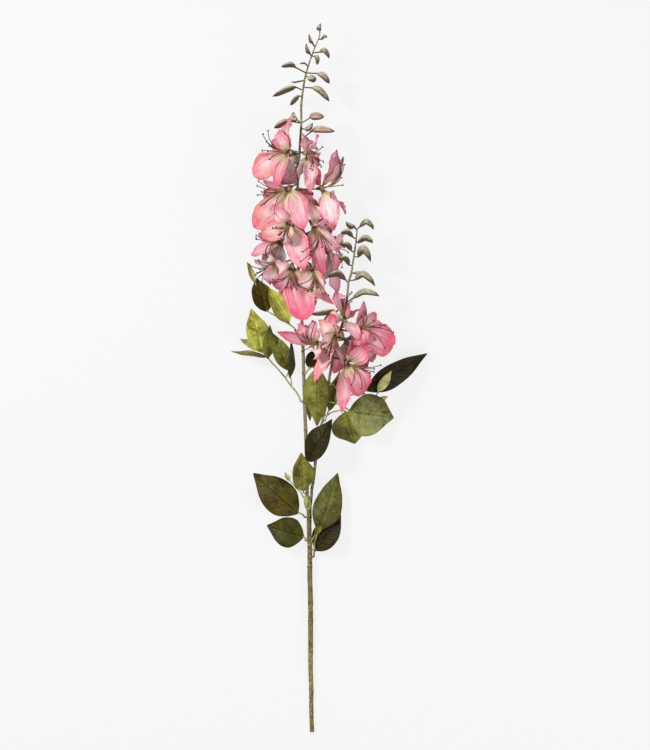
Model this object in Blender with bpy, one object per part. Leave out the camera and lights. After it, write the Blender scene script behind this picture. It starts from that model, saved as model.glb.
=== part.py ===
"""A cut flower stem with two flowering spikes, lying on the surface.

One round stalk forks into a tall main spike and a shorter side spike. Both carry pink
lily-like blooms with loose brown stamens, claw-shaped closed buds towards the tip and,
below the blooms, broad pointed leaves. The stem is modelled as it lies, seen from
straight above: +Y runs from the cut end of the stalk to the tip, +Z is up.

All tables are in millimetres, measured from the cut end of the stalk: x to the right,
y towards the tip, z above the surface. The finished meshes are turned to metres and
moved so that the middle of the foot of their common box is the origin.

A petal, leaf or stamen is given by where its tip should be. The real ones push each
other aside, and so do these: each is tried where the table wants it, and then bent a
little further and further away until it touches nothing that was placed before it.
"""
import itertools
import math

import bpy
import bmesh
from mathutils import Matrix, Vector
from mathutils.bvhtree import BVHTree

# Where the middle of the finished part lies in the tables, and how many metres one
# table unit is.
CENTRE_X = 23.0
CENTRE_Y = 496.0
UNIT = 0.001

# Thicknesses of the sheets, and the air between pieces that aren't one body.
PETAL_THICK = 0.7
LEAF_THICK = 0.8
GAP = 0.35
CALYX_STOP = 1.35

# A petal's length along its curl. None is really narrower than PETAL_LEAST: one that
# looks narrower is seen from its side.
PETAL_LENGTH = 63.0
PETAL_SHORTEST = 44.0
PETAL_SLACK = 1.12
PETAL_RISE = 1.5
PETAL_LEAST = 22.0

# How hollow a blade is across, as a share of its half width.
PETAL_CUP = 0.16
LEAF_CUP = 0.20

# How wide a blade is along its length, as a share of its full width.
PETAL_OUTLINE = [(0.0, 0.15), (0.2, 0.25), (0.4, 0.70), (0.58, 1.0), (0.74, 0.95), (0.88, 0.60), (1.0, 0.06)]
LEAF_OUTLINE = [(0.0, 0.07), (0.1, 0.50), (0.27, 0.93), (0.45, 1.0), (0.65, 0.80), (0.85, 0.36), (1.0, 0.04)]

# Where the rows of cells of a blade are cut, and how many sides the round pieces have.
PETAL_STEPS = [0.0, 0.27, 0.56, 0.83, 1.0]
LEAF_STEPS = [0.0, 0.1, 0.27, 0.47, 0.74, 1.0]
STALK_SIDES = 8
SPIKE_SIDES = 7
BUD_SIDES = 5
CUP_SIDES = 6
TWIG_SIDES = 4
STAMEN_SIDES = 3

# No petal or stamen rises above these heights.
PETAL_TOP = 93.0
STAMEN_TOP = 99.0

# The three stems: x, y, height above the surface, radius.
LOWER_STALK = [
    (0, 0, 3, 2.9), (-1, 32, 3.4, 3), (-1, 62, 4, 3), (-2, 88, 4.6, 3.2), (-2, 115, 5.2, 3.4),
    (-2, 148, 6, 3.5), (-2, 181, 6.9, 3.5), (-3, 217, 8, 3.4), (-3, 255, 9.2, 3.4), (-4, 284, 11, 3.3),
    (-4, 309, 13, 3.5), (-5, 318, 13.8, 4.6),
]
MAIN_SPIKE = [
    (-7, 319, 13.9, 2.4), (-7, 332, 14.9, 2.5), (-7, 368, 17, 2.5), (-9, 424, 20, 2.5),
    (-11, 482, 26, 2.4), (-12, 522, 31, 2.3), (-13, 550, 34.5, 2.3), (-15, 592, 38, 2.2),
    (-20, 676, 42, 2), (-20, 760, 42, 1.9), (-18, 802, 43, 1.8), (-15, 853, 44, 1.6),
    (-15, 878, 44.5, 1.5), (-12, 903, 45, 1.4), (-8, 923, 45.5, 1.2), (1, 951, 46.5, 1),
    (10, 973, 47.5, 0.8), (11, 981, 48, 0.8),
]
SIDE_SPIKE = [
    (-2, 319, 13.9, 1.9), (-1, 330, 14.9, 2), (0, 343, 16, 2), (3, 360, 17.2, 2), (8, 416, 22, 2),
    (13, 431, 24, 1.9), (18, 452, 27, 1.9), (22, 479, 31, 1.9), (25, 501, 35, 1.9), (34, 550, 45, 1.8),
    (42, 571, 49, 1.8), (47, 590, 51, 1.7), (51, 629, 52, 1.5), (55, 644, 52, 1.4), (60, 677, 52, 1.2),
    (62, 693, 52, 1.1), (63, 705, 52, 0.9),
]

# Closed buds: foot of the bud's stalk, foot of the bud, its thickest place, its tip,
# and its radius there.
MAIN_BUDS = [
    ((-10, 922, 46), (-23, 931, 47), (-32, 938, 51), (-43, 931, 50), 3.5),
    ((-13, 900, 44), (-22, 903, 45), (-39, 902, 49), (-55, 890, 48), 3.9),
    ((-14, 889, 44), (-18, 891, 43), (-25, 888, 43), (-30, 878, 40), 3.2),
    ((-16, 855, 44), (-31, 856, 45), (-43, 856, 49), (-53, 846, 48), 4.3),
    ((-16, 853, 42), (-22, 859, 40), (-26, 862, 40), (-26, 869, 36), 4.3),
    ((-15, 854, 46), (-3, 860, 47), (7, 866, 51), (17, 862, 50), 4.9),
    ((-16, 833, 46), (-1, 841, 47), (15, 847, 51), (32, 841, 50), 4.3),
    ((-16, 844, 45), (-8, 844, 47), (-4, 848, 52), (1, 853, 52), 3.5),
    ((-12, 903, 46), (0, 902, 47), (13, 900, 51), (24, 883, 50), 4.1),
    ((-7, 923, 46), (8, 922, 47), (18, 920, 51), (24, 908, 50), 3.8),
    ((-8, 918, 48), (-4, 916, 50), (1, 917, 57), (5, 917, 58), 4.3),
    ((1, 951, 47), (11, 952, 48), (19, 956, 51), (24, 943, 50), 3.2),
    ((-1, 945, 47), (4, 946, 48), (8, 945, 51), (7, 934, 50), 2.8),
    ((0, 946, 47), (-3, 950, 48), (-6, 956, 51), (-8, 964, 50), 2.6),
    ((5, 958, 47), (1, 964, 48), (-2, 970, 51), (-4, 977, 50), 2.3),
    ((11, 980, 48), (11, 983, 48), (10, 988, 51), (12, 992, 49), 3),
    ((10, 970, 48), (14, 970, 48), (18, 976, 51), (21, 972, 50), 2.2),
    ((-11, 912, 46), (-20, 911, 46), (-24, 911, 49), (-29, 911, 47), 1.3),
    ((-4, 932, 46), (-9, 936, 46), (-13, 938, 49), (-17, 936, 48), 1.4),
]
SIDE_BUDS = [
    ((63, 704, 52), (60, 707, 53), (53, 712, 57), (48, 715, 56), 3.5),
    ((63, 705, 52), (67, 708, 54), (78, 718, 58), (86, 704, 58), 3.6),
    ((61, 691, 52), (57, 694, 53), (48, 705, 57), (40, 698, 56), 3.6),
    ((61, 688, 52), (64, 686, 54), (76, 696, 58), (85, 685, 58), 3.8),
    ((59, 673, 52), (55, 675, 53), (49, 687, 57), (40, 683, 56), 3.8),
    ((59, 668, 52), (64, 666, 54), (73, 681, 60), (82, 659, 60), 4.6),
    ((56, 654, 52), (52, 655, 53), (46, 668, 57), (38, 662, 56), 3.6),
    ((52, 633, 52), (60, 634, 54), (74, 645, 58), (88, 625, 58), 4.3),
    ((54, 643, 52), (59, 643, 50), (66, 645, 50), (74, 643, 46), 2.6),
    ((51, 630, 52), (47, 634, 53), (34, 648, 57), (22, 637, 56), 4.3),
    ((50, 605, 52), (57, 608, 54), (76, 621, 58), (94, 611, 58), 4.1),
    ((49, 606, 52), (34, 590, 56), (15, 591, 67), (-2, 586, 70), 3.5),
]

# Blooms. The throat is where the petals leave the calyx and 'facing' is where it looks.
# A petal is (x, y, z of its tip, width seen from above); a stamen is the place of its
# anther. The blooms without stamens are turned to the surface.
BLOOMS = {
    "main_01": {
        "throat": (-27, 811, 46), "facing": (-0.8, 0.1, 0.5),
        "petals": [
            (-46, 843, 56, 18), (-57, 826, 40, 14), (-82, 780, 50, 36), (-50, 761, 62, 16),
            (-25, 782, 36, 13), (-40, 858, 52, 7)],
        "stamens": [
            (-62, 813, 58), (-61, 841, 62), (-59, 802, 56), (-55, 822, 66)],
    },
    "main_02": {
        "throat": (-10, 811, 52), "facing": (0.5, -0.2, 0.8),
        "petals": [
            (-2, 756, 66, 20), (-13, 838, 60, 13), (9, 836, 58, 9), (8, 793, 50, 12),
            (-19, 777, 56, 14)],
        "stamens": [
            (16, 798, 66), (-1, 792, 74), (7, 816, 72), (10, 788, 66)],
    },
    "main_03": {
        "throat": (11, 762, 50), "facing": (0.8, 0.1, 0.5),
        "petals": [
            (34, 813, 58, 24), (44, 803, 62, 12), (30, 703, 56, 27), (17, 712, 46, 19),
            (44, 724, 40, 12)],
        "stamens": [
            (43, 804, 68), (45, 794, 68), (41, 776, 70), (43, 766, 62)],
    },
    "main_04": {
        "throat": (-31, 763, 54), "facing": (-0.6, -0.3, 0.7),
        "petals": [
            (-80, 706, 60, 36), (-11, 704, 79, 36), (-68, 771, 44, 13), (-54, 719, 42, 19),
            (10, 738, 44, 15)],
        "stamens": [
            (-76, 752, 66), (-70, 756, 72), (-62, 750, 76), (-67, 739, 70)],
    },
    "main_05": {
        "throat": (-29, 715, 56), "facing": (-0.3, -0.5, 0.8),
        "petals": [
            (-74, 699, 50, 28), (-55, 738, 62, 19), (-11, 647, 74, 34), (-38, 684, 58, 14),
            (-4, 735, 52, 16)],
        "stamens": [
            (-45, 696, 80), (-50, 707, 78), (-39, 690, 84)],
    },
    "main_06": {
        "throat": (0, 713, 54), "facing": (0.5, -0.6, 0.6),
        "petals": [
            (16, 638, 70, 18), (20, 711, 66, 10), (2, 668, 46, 16), (31, 669, 50, 14),
            (-2, 744, 52, 16)],
        "stamens": [
            (27, 682, 76), (20, 676, 80), (14, 679, 82)],
    },
    "main_07": {
        "throat": (-38, 687, 44), "facing": (-0.9, 0, 0.4),
        "petals": [
            (-85, 669, 40, 22), (-70, 659, 34, 19), (-76, 693, 44, 14), (-56, 632, 34, 19),
            (-50, 728, 40, 15)],
        "stamens": [
            (-78, 687, 52), (-76, 682, 56), (-64, 668, 56)],
    },
    "main_08": {
        "throat": (18, 675, 40), "facing": (0.8, 0.2, 0.1),
        "petals": [
            (44, 696, 46, 15), (34, 647, 48, 15), (35, 612, 40, 15), (8, 697, 34, 16),
            (14, 627, 26, 16)],
        "stamens": [
            (41, 659, 50), (42, 669, 46), (39, 680, 50)],
    },
    "main_09": {
        "throat": (-43, 658, 42), "facing": (-0.7, -0.3, 0.3),
        "petals": [
            (-57, 629, 50, 27), (-80, 660, 40, 12), (-65, 668, 38, 16), (-31, 606, 32, 19),
            (-66, 641, 26, 15)],
        "stamens": [
            (-70, 640, 54), (-73, 648, 56)],
    },
    "main_10": {
        "throat": (-28, 654, 58), "facing": (-0.1, -0.7, 0.7),
        "petals": [
            (-42, 620, 62, 22), (-10, 578, 72, 42), (30, 600, 66, 16), (-52, 659, 64, 19)],
        "stamens": [
            (-28, 620, 84), (-35, 623, 82), (-21, 620, 84)],
    },
    "main_11": {
        "throat": (0, 652, 56), "facing": (0.2, -0.6, 0.8),
        "petals": [
            (6, 605, 62, 27), (-17, 620, 58, 19), (15, 627, 54, 17), (8, 683, 56, 16)],
        "stamens": [
            (-10, 619, 80), (-1, 617, 80), (8, 623, 78)],
    },
    "main_12": {
        "throat": (-18, 795, 30), "facing": (0.2, 0.1, -0.9),
        "petals": [
            (-45, 812, 12, 25), (8, 812, 12, 25), (10, 768, 5, 25), (-44, 768, 6, 25)],
        "stamens": [],
    },
    "main_13": {
        "throat": (-29, 746, 30), "facing": (-0.4, 0, -0.9),
        "petals": [
            (-68, 760, 8, 27), (-64, 716, 1, 27), (-24, 701, 1, 27), (2, 756, 8, 25)],
        "stamens": [],
    },
    "main_14": {
        "throat": (-10, 697, 30), "facing": (0.4, 0.1, -0.9),
        "petals": [
            (30, 714, 6, 27), (26, 670, 1, 27), (-20, 656, 1, 27), (-38, 704, 8, 25)],
        "stamens": [],
    },
    "main_15": {
        "throat": (-21, 641, 30), "facing": (0, -0.2, -0.9),
        "petals": [
            (-52, 652, 6, 27), (-44, 604, 0.5, 29), (4, 596, 0.5, 29), (14, 650, 6, 27)],
        "stamens": [],
    },
    "side_01": {
        "throat": (14, 545, 62), "facing": (-0.8, -0.2, 0.5),
        "petals": [
            (-48, 561, 66, 16), (-20, 573, 54, 22), (2, 533, 48, 12), (9, 526, 73, 14),
            (24, 512, 44, 17), (0, 578, 62, 20)],
        "stamens": [
            (-8, 569, 74), (-13, 559, 76), (-14, 550, 74)],
    },
    "side_02": {
        "throat": (35, 560, 64), "facing": (-0.3, -0.5, 0.8),
        "petals": [
            (10, 577, 72, 20), (18, 543, 80, 15), (3, 491, 70, 16), (28, 586, 66, 11),
            (44, 515, 56, 15)],
        "stamens": [
            (27, 533, 92), (18, 536, 90)],
    },
    "side_03": {
        "throat": (46, 575, 58), "facing": (-0.1, 0.5, 0.5),
        "petals": [
            (42, 619, 60, 17), (52, 601, 70, 11), (16, 582, 52, 20), (67, 592, 54, 12),
            (66, 551, 74, 17)],
        "stamens": [
            (43, 603, 76), (49, 606, 78)],
    },
    "side_04": {
        "throat": (56, 564, 60), "facing": (0.8, 0.2, 0.6),
        "petals": [
            (73, 604, 64, 13), (90, 583, 68, 26), (113, 541, 60, 47), (73, 543, 82, 20),
            (84, 519, 44, 19)],
        "stamens": [
            (91, 592, 78), (102, 587, 76), (88, 550, 84), (95, 567, 82)],
    },
    "side_05": {
        "throat": (46, 520, 58), "facing": (0.6, -0.3, 0.6),
        "petals": [
            (72, 475, 66, 36), (42, 449, 62, 21), (76, 539, 76, 28), (57, 478, 72, 18),
            (56, 550, 60, 16)],
        "stamens": [
            (81, 504, 80), (69, 482, 84), (76, 515, 86), (88, 529, 80)],
    },
    "side_06": {
        "throat": (48, 550, 40), "facing": (0.1, 0, -0.9),
        "petals": [
            (10, 566, 18, 27), (30, 504, 8, 27), (78, 512, 8, 27), (84, 572, 16, 27)],
        "stamens": [],
    },
}

# Leaf sprays. A stalk is a row of x, y, height, radius, and the first one starts at its
# host; a leaf is (foot, tip, width seen from above, real width, arch).
SPRAYS = {
    "leaf_low_left_big": {
        "host": "lower_stalk",
        "stalks": [
            [
                (-7, 302, 12.5, 1.3), (-14, 306, 13.5, 1.2), (-22, 309, 12.5, 1.1)],
        ],
        "leaves": [
            ((-20, 307, 13), (-82, 363, 1), 48, 48, 0.16),
        ],
    },
    "leaf_low_left_small": {
        "host": "lower_stalk",
        "stalks": [
            [
                (-7, 269, 10, 1.3), (-9, 272, 10.5, 1.2), (-13, 275, 10.2, 1.1)],
        ],
        "leaves": [
            ((-12, 274, 10), (-63, 290, 0.9), 42, 42, 0.14),
        ],
    },
    "leaf_low_right_big": {
        "host": "lower_stalk",
        "stalks": [
            [
                (0, 256, 9.5, 1.3), (4, 269, 12, 1.2), (10, 286, 14, 1.1)],
        ],
        "leaves": [
            ((10, 283, 14), (36, 363, 3), 39, 42, 0.14),
        ],
    },
    "leaf_low_right_small": {
        "host": "lower_stalk",
        "stalks": [
            [
                (0, 246, 8, 1.3), (3, 252, 7, 1.2), (7, 258, 6, 1.1)],
        ],
        "leaves": [
            ((5, 255, 6), (46, 300, 0.9), 36, 39, 0.12),
        ],
    },
    "sprout_low_left": {
        "host": "main_spike",
        "stalks": [
            [
                (-10, 330, 15.5, 1), (-16, 337, 17.5, 0.9), (-22, 343, 17, 0.8), (-32, 354, 15, 0.7)],
        ],
        "leaves": [
            ((-31, 353, 15), (-38, 365, 12), 7, 8, 0.1),
        ],
    },
    "sprout_low_right": {
        "host": "lower_stalk",
        "stalks": [
            [
                (-1, 269, 14, 1), (2, 274, 18, 0.9), (5, 279, 20, 0.8)],
        ],
        "leaves": [
            ((4, 277, 20), (13, 294, 21), 8, 10, 0.1),
        ],
    },
    "leaf_mid_light": {
        "host": "main_spike",
        "stalks": [
            [
                (-8, 335, 17, 1.1), (-12, 337, 22, 1.1), (-13, 342, 24, 1)],
        ],
        "leaves": [
            ((-12, 339, 23), (-15, 392, 27), 31, 34, 0.12),
        ],
    },
    "leaf_mid_dark": {
        "host": "main_spike",
        "stalks": [
            [
                (-11, 375, 20, 1.2), (-11, 377, 24, 1.2), (-5, 382, 27, 1.1)],
        ],
        "leaves": [
            ((-7, 381, 26), (31, 437, 34), 32, 37, 0.16),
        ],
    },
    "leaf_right_front": {
        "host": "side_spike",
        "stalks": [
            [
                (21, 465, 31, 1.2), (31, 462, 33.5, 1.1), (43, 458, 34, 1), (55, 449, 33.5, 1)],
        ],
        "leaves": [
            ((52, 450, 34), (114, 441, 10), 60, 62, 0.14),
        ],
    },
    "leaf_right_back": {
        "host": "side_spike",
        "stalks": [
            [
                (18, 445, 26, 1.2), (28, 449, 26, 1.1), (43, 452, 25, 1), (49, 448, 24, 1)],
        ],
        "leaves": [
            ((48, 450, 24), (60, 405, 4), 50, 52, 0.14),
        ],
    },
    "spray_far_right": {
        "host": "side_spike",
        "stalks": [
            [
                (27, 489, 36, 1.2), (46, 473, 35, 1.1), (64, 476, 34, 1.1), (78, 480, 33, 1)],
            [
                (71, 477, 33.4, 1), (84, 468, 35, 0.9), (95, 480, 37, 0.7)],
            [
                (83, 469, 35, 0.9), (87, 464, 35, 0.8), (92, 465, 35, 0.7)],
        ],
        "leaves": [
            ((76, 479, 33), (161, 531, 0.8), 32, 35, 0.14),
            ((92, 478, 37), (111, 507, 38), 13, 14, 0.1),
            ((91, 465, 35), (106, 471, 36), 8, 10, 0.1),
            ((73, 476, 33), (57, 475, 30), 8, 11, 0.1),
        ],
    },
    "leaf_centre": {
        "host": "main_spike",
        "stalks": [
            [
                (-10, 503, 30, 1.1), (-6, 508, 31, 1.1), (1, 512, 30, 1), (6, 508, 28, 1)],
            [
                (-4, 509, 31, 1), (-4, 514, 31.5, 0.8)],
        ],
        "leaves": [
            ((7, 511, 29), (7, 430, 17), 35, 37, 0.1),
            ((-4, 511, 31), (4, 537, 24), 19, 21, 0.1),
        ],
    },
    "leaf_centre_low": {
        "host": "main_spike",
        "stalks": [
            [
                (-9, 483, 24, 1), (-6, 482, 22, 1), (-2, 477, 19, 0.9)],
        ],
        "leaves": [
            ((-3, 479, 20), (-3, 437, 10), 13, 17, 0.1),
        ],
    },
    "leaf_centre_right": {
        "host": "side_spike",
        "stalks": [
            [
                (15, 437, 24, 1), (20, 442, 25, 0.9), (24, 454, 26, 0.9)],
        ],
        "leaves": [
            ((24, 451, 26), (35, 507, 31), 14, 20, 0.1),
        ],
    },
    "spray_left": {
        "host": "main_spike",
        "stalks": [
            [
                (-13, 464, 24, 1.3), (-21, 476, 24.5, 1.2), (-31, 488, 25, 1.2), (-38, 498, 24.5, 1.1),
                (-48, 510, 23, 1.1), (-55, 517, 22, 1.1), (-65, 529, 20, 1), (-78, 540, 18, 0.8)],
            [
                (-37, 497, 24.6, 1), (-34, 503, 25.5, 0.9), (-31, 511, 26, 0.8)],
            [
                (-29, 486, 25, 1), (-29, 493, 27, 0.9), (-31, 500, 28, 0.8)],
        ],
        "leaves": [
            ((-63, 526, 20), (-113, 534, 9), 7, 17, 0.1),
            ((-70, 533, 19), (-85, 594, 24), 32, 34, 0.14),
            ((-62, 524, 21), (-59, 571, 26), 17, 22, 0.12),
            ((-74, 536, 19), (-101, 552, 14), 11, 14, 0.1),
            ((-32, 508, 26), (-56, 560, 10), 25, 29, 0.14),
            ((-31, 497, 28), (-29, 549, 30), 10, 20, 0.1),
        ],
    },
    "spray_upper_left": {
        "host": "main_spike",
        "stalks": [
            [
                (-15, 556, 35, 1.1), (-25, 567, 33, 1.1), (-39, 577, 31, 1.1), (-53, 585, 29, 1),
                (-67, 595, 26, 0.9), (-76, 615, 22, 0.8), (-80, 636, 18, 0.7)],
            [
                (-33, 572, 31.9, 1), (-32, 575, 32.8, 0.9), (-33, 580, 33, 0.8)],
        ],
        "leaves": [
            ((-63, 590, 27), (-78, 637, 8), 30, 33, 0.14),
            ((-32, 575, 33), (-60, 623, 26), 31, 33, 0.14),
            ((-80, 630, 19), (-91, 660, 15), 8, 11, 0.1),
        ],
    },
}

# Colours, one to a kind of piece.
STALK_BROWN = (0.155, 0.115, 0.050, 1.0)
SPIKE_OLIVE = (0.150, 0.125, 0.070, 1.0)
PETAL_PINK = (0.700, 0.200, 0.280, 1.0)
STAMEN_BROWN = (0.080, 0.022, 0.020, 1.0)
DARK_LEAF = (0.040, 0.045, 0.016, 1.0)
GREY_LEAF = (0.085, 0.095, 0.045, 1.0)
LIME_LEAF = (0.230, 0.270, 0.075, 1.0)
LEAF_COLOURS = {
    "leaf_low_left_big": DARK_LEAF,
    "leaf_low_left_small": DARK_LEAF,
    "leaf_low_right_big": GREY_LEAF,
    "leaf_low_right_small": DARK_LEAF,
    "sprout_low_left": LIME_LEAF,
    "sprout_low_right": LIME_LEAF,
    "leaf_mid_light": LIME_LEAF,
    "leaf_mid_dark": DARK_LEAF,
    "leaf_right_front": GREY_LEAF,
    "leaf_right_back": DARK_LEAF,
    "spray_far_right": DARK_LEAF,
    "leaf_centre": LIME_LEAF,
    "leaf_centre_low": GREY_LEAF,
    "leaf_centre_right": LIME_LEAF,
    "spray_left": LIME_LEAF,
    "spray_upper_left": LIME_LEAF,
}

for old in list(bpy.data.objects):
    bpy.data.objects.remove(old, do_unlink=True)


def along(table, u):
    """Read a small (position, value) table at u, straight lines between rows."""
    for (u0, a), (u1, b) in zip(table, table[1:]):
        if u <= u1:
            return a + (b - a) * (u - u0) / (u1 - u0)
    return table[-1][1]


def quad(p0, p1, p2, u):
    """Point on the curve that leaves p0 towards p1 and arrives at p2."""
    return p0 * (1 - u) ** 2 + p1 * (2 * u * (1 - u)) + p2 * u ** 2


def quad_slope(p0, p1, p2, u):
    return ((p1 - p0) * (1 - u) + (p2 - p1) * u).normalized()


def smooth(rows, per):
    """Catmull-Rom: 'per' steps between neighbouring rows (x, y, z, radius)."""
    pts = [Vector(r) for r in rows]
    pts = [pts[0] * 2 - pts[1]] + pts + [pts[-1] * 2 - pts[-2]]
    out = []
    for a, b, c, d in zip(pts, pts[1:], pts[2:], pts[3:]):
        for k in range(per):
            t = k / per
            out.append(((b * 2) + (c - a) * t + (a * 2 - b * 5 + c * 4 - d) * t ** 2
                        + (b * 3 - a - c * 3 + d) * t ** 3) * 0.5)
    out.append(pts[-2].copy())
    return out


def tube(rows, sides):
    """A closed rod: a round cap pushed from row to row (x, y, z, radius)."""
    spots = [Vector(r[:3]) for r in rows]
    ways = []
    for i in range(len(spots)):
        ways.append((spots[min(i + 1, len(spots) - 1)] - spots[max(i - 1, 0)]).normalized())
    bm = bmesh.new()
    bmesh.ops.create_circle(bm, cap_ends=True, radius=1.0, segments=sides)
    turn = ways[0].to_track_quat("Z", "Y")
    here = Matrix.LocRotScale(spots[0], turn, Vector.Fill(3, rows[0][3]))
    bmesh.ops.transform(bm, matrix=here, verts=bm.verts[:])
    bm.faces.ensure_lookup_table()
    cap = bm.faces[0]
    for i in range(1, len(rows)):
        turn = ways[i - 1].rotation_difference(ways[i]) @ turn
        there = Matrix.LocRotScale(spots[i], turn, Vector.Fill(3, rows[i][3]))
        grown = bmesh.ops.extrude_face_region(bm, geom=[cap, *cap.edges, *cap.verts])["geom"]
        cap = next(g for g in grown if isinstance(g, bmesh.types.BMFace))
        ring = [g for g in grown if isinstance(g, bmesh.types.BMVert)]
        bmesh.ops.transform(bm, matrix=there @ here.inverted(), verts=ring)
        here = there
    bmesh.ops.recalc_face_normals(bm, faces=bm.faces[:])
    return bm


def blade(shape, steps, across, thick):
    """A thin solid sheet: a flat grid bent by shape(u, v), then given thickness."""
    bm = bmesh.new()
    bmesh.ops.create_grid(bm, x_segments=across, y_segments=len(steps) - 1, size=1.0)
    for v in bm.verts:
        row = round((v.co.y + 1) / 2 * (len(steps) - 1))
        v.co = shape(steps[row], v.co.x)
    bmesh.ops.triangulate(bm, faces=bm.faces[:])
    bm.normal_update()
    lift = [(v, v.normal * (thick / 2)) for v in bm.verts]
    for v, step in lift:
        v.co += step
    bmesh.ops.solidify(bm, geom=bm.faces[:], thickness=thick)
    for v in bm.verts:
        v.co.z = max(v.co.z, 0.0)
    bmesh.ops.recalc_face_normals(bm, faces=bm.faces[:])
    return bm


def arch(base, tip, way, length):
    """Middle control point of a petal of this length that leaves base along 'way'."""
    low, high = 0.0, 0.62 * length
    for _ in range(14):
        rise = (low + high) / 2
        mid = base + way * rise + (tip - base) * 0.2
        spots = [quad(base, mid, tip, k / 8) for k in range(9)]
        if sum((b - a).length for a, b in zip(spots, spots[1:])) < length:
            low = rise
        else:
            high = rise
    return base + way * low + (tip - base) * 0.2


def blade_shape(base, mid, tip, width, wide, roll, way, cup, table, floor):
    """The bent surface of a petal or leaf. 'width' is what shows from above, 'wide' the
    real one: the blade is rolled about its midrib until the two agree."""
    up = Vector((0, 0, 1))
    level = up.cross(tip - base)
    if level.length < 0.3 * (tip - base).length:
        level = way.cross(tip - base)
    level.normalize()

    def axes(u, angle):
        slope = quad_slope(base, mid, tip, u)
        flat = (level - slope * level.dot(slope)).normalized()
        spin = Matrix.Rotation(angle, 3, slope)
        return spin @ flat, spin @ slope.cross(flat)

    tilt = math.acos(min(1.0, width / wide))
    if axes(0.5, tilt)[1].dot(way) < axes(0.5, -tilt)[1].dot(way):
        tilt = -tilt
    tilt += math.radians(roll)

    def shape(u, v):
        side, face = axes(u, tilt)
        half = 0.5 * wide * along(table, u)
        spot = quad(base, mid, tip, u) + side * (v * half) + face * (cup * half * v * v)
        spot.z = max(spot.z, floor)
        return spot
    return shape

def nearest_on(path, spot):
    """The point of a stem's centre line that lies closest to spot."""
    return min((Vector(r[:3]) for r in path), key=lambda p: (p - spot).length)


def pedicel_rows(path, throat, way):
    """A bloom's short stalk, from the stem's centre line up to the green calyx."""
    start = nearest_on(path, throat - way * 13.0)
    end = throat - way * 6.0
    mid = throat - way * 10.0
    rows = [(*quad(start, mid, end, u), 1.3) for u in (0.0, 0.5)]
    rows.append((*end, 1.4))
    rows.append((*(throat - way * 4.0), 2.5))
    rows.append((*(throat - way * CALYX_STOP), 2.3))
    return rows


def cup_rows(throat, way):
    """The closed foot of a bloom, out of which its petals grow."""
    return [(*(throat - way * 1.0), 2.2), (*(throat + way * 1.5), 3.2), (*(throat + way * 5.0), 3.0)]


def column_rows(throat, way):
    """The small post the stamens spring from; it starts a hair above the cup."""
    return [(*(throat + way * 5.35), 1.4), (*(throat + way * 9.0), 1.3), (*(throat + way * 12.0), 0.6)]


def filament_rows(throat, way, tip):
    """A thin stamen with a thicker anther at its end."""
    start = throat + way * 8.0
    mid = throat + way * (8.0 + 0.55 * (tip - start).length) + (tip - start) * 0.1
    rows = [(*quad(start, mid, tip, u), 0.5) for u in (0.0, 0.4, 0.86)]
    rows.append((*quad(start, mid, tip, 0.91), 1.0))
    rows.append((*tip, 0.55))
    return rows


def petal_piece(throat, way, tip, width, length, roll, steps, across, thick):
    """One petal: it leaves the cup along the bloom's axis and curls back to its tip."""
    reach = tip - throat
    out = reach - way * reach.dot(way)
    base = throat + way * 2.6 + out.normalized() * 2.6
    bow = way if way.z < 0 else (way + Vector((0, 0, PETAL_RISE))).normalized()
    mid = arch(base, tip, bow, length)
    wide = max(width, PETAL_LEAST)
    shape = blade_shape(base, mid, tip, width, wide, roll, way, PETAL_CUP, PETAL_OUTLINE, thick / 2)
    return blade(shape, steps, across, thick)


def leaf_piece(base, tip, width, wide, roll, rise, steps, across, thick):
    """One leaf, arched upward along its midrib and folded a little along it."""
    base = Vector(base)
    tip = Vector(tip)
    up = Vector((0, 0, 1))
    mid = (base + tip) / 2 + up * (rise * (tip - base).length * 2)
    shape = blade_shape(base, mid, tip, width, wide, roll, up, LEAF_CUP, LEAF_OUTLINE, thick / 2)
    return blade(shape, steps, across, thick)

def bud_rows(foot, neck, peak, tip, fat):
    """A claw-shaped bud on its thin stalk."""
    foot, neck, peak, tip = Vector(foot), Vector(neck), Vector(peak), Vector(tip)
    bend = (peak - (neck + tip) / 2) * 0.12
    rows = [(*foot, 0.9), (*neck, 1.2), (*(neck * 0.7 + peak * 0.3), fat * 0.85)]
    rows.append((*(neck * 0.2 + peak * 0.8 + bend), fat))
    rows.append((*(peak * 0.45 + tip * 0.55 + bend), fat * 0.66))
    rows.append((*tip, 0.35))
    return rows


def fattened(rows):
    """The same rod with the clearance around it."""
    return [(*row[:3], row[3] * 1.03 + GAP) for row in rows]


# What has been placed so far: node, surface, and the corners of its box.
placed = []


def box_of(bm):
    low = Vector([min(v.co[i] for v in bm.verts) for i in range(3)])
    high = Vector([max(v.co[i] for v in bm.verts) for i in range(3)])
    return low, high


def place(node, bm):
    """Note where a piece lies, and hand it on."""
    placed.append((node, BVHTree.FromBMesh(bm), *box_of(bm)))
    return bm


def is_free(node, bm, top=1000.0):
    """Whether a trial piece stays below 'top' and touches nothing of another node.
    The trial piece is used up."""
    low, high = box_of(bm)
    surface = BVHTree.FromBMesh(bm)
    bm.free()
    if high.z > top:
        return False
    for other, there, other_low, other_high in placed:
        if other == node:
            continue
        if any(low[i] > other_high[i] or high[i] < other_low[i] for i in range(3)):
            continue
        if surface.overlap(there):
            return False
    return True


def folds_into_itself(bm):
    """Whether a sheet is curled so tightly that it cuts itself. It is used up."""
    bm.faces.ensure_lookup_table()
    bm.verts.index_update()
    surface = BVHTree.FromBMesh(bm)
    corners = [{v.index for v in face.verts} for face in bm.faces]
    bm.free()
    return any(not corners[a] & corners[b] for a, b in surface.overlap(surface))


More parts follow.
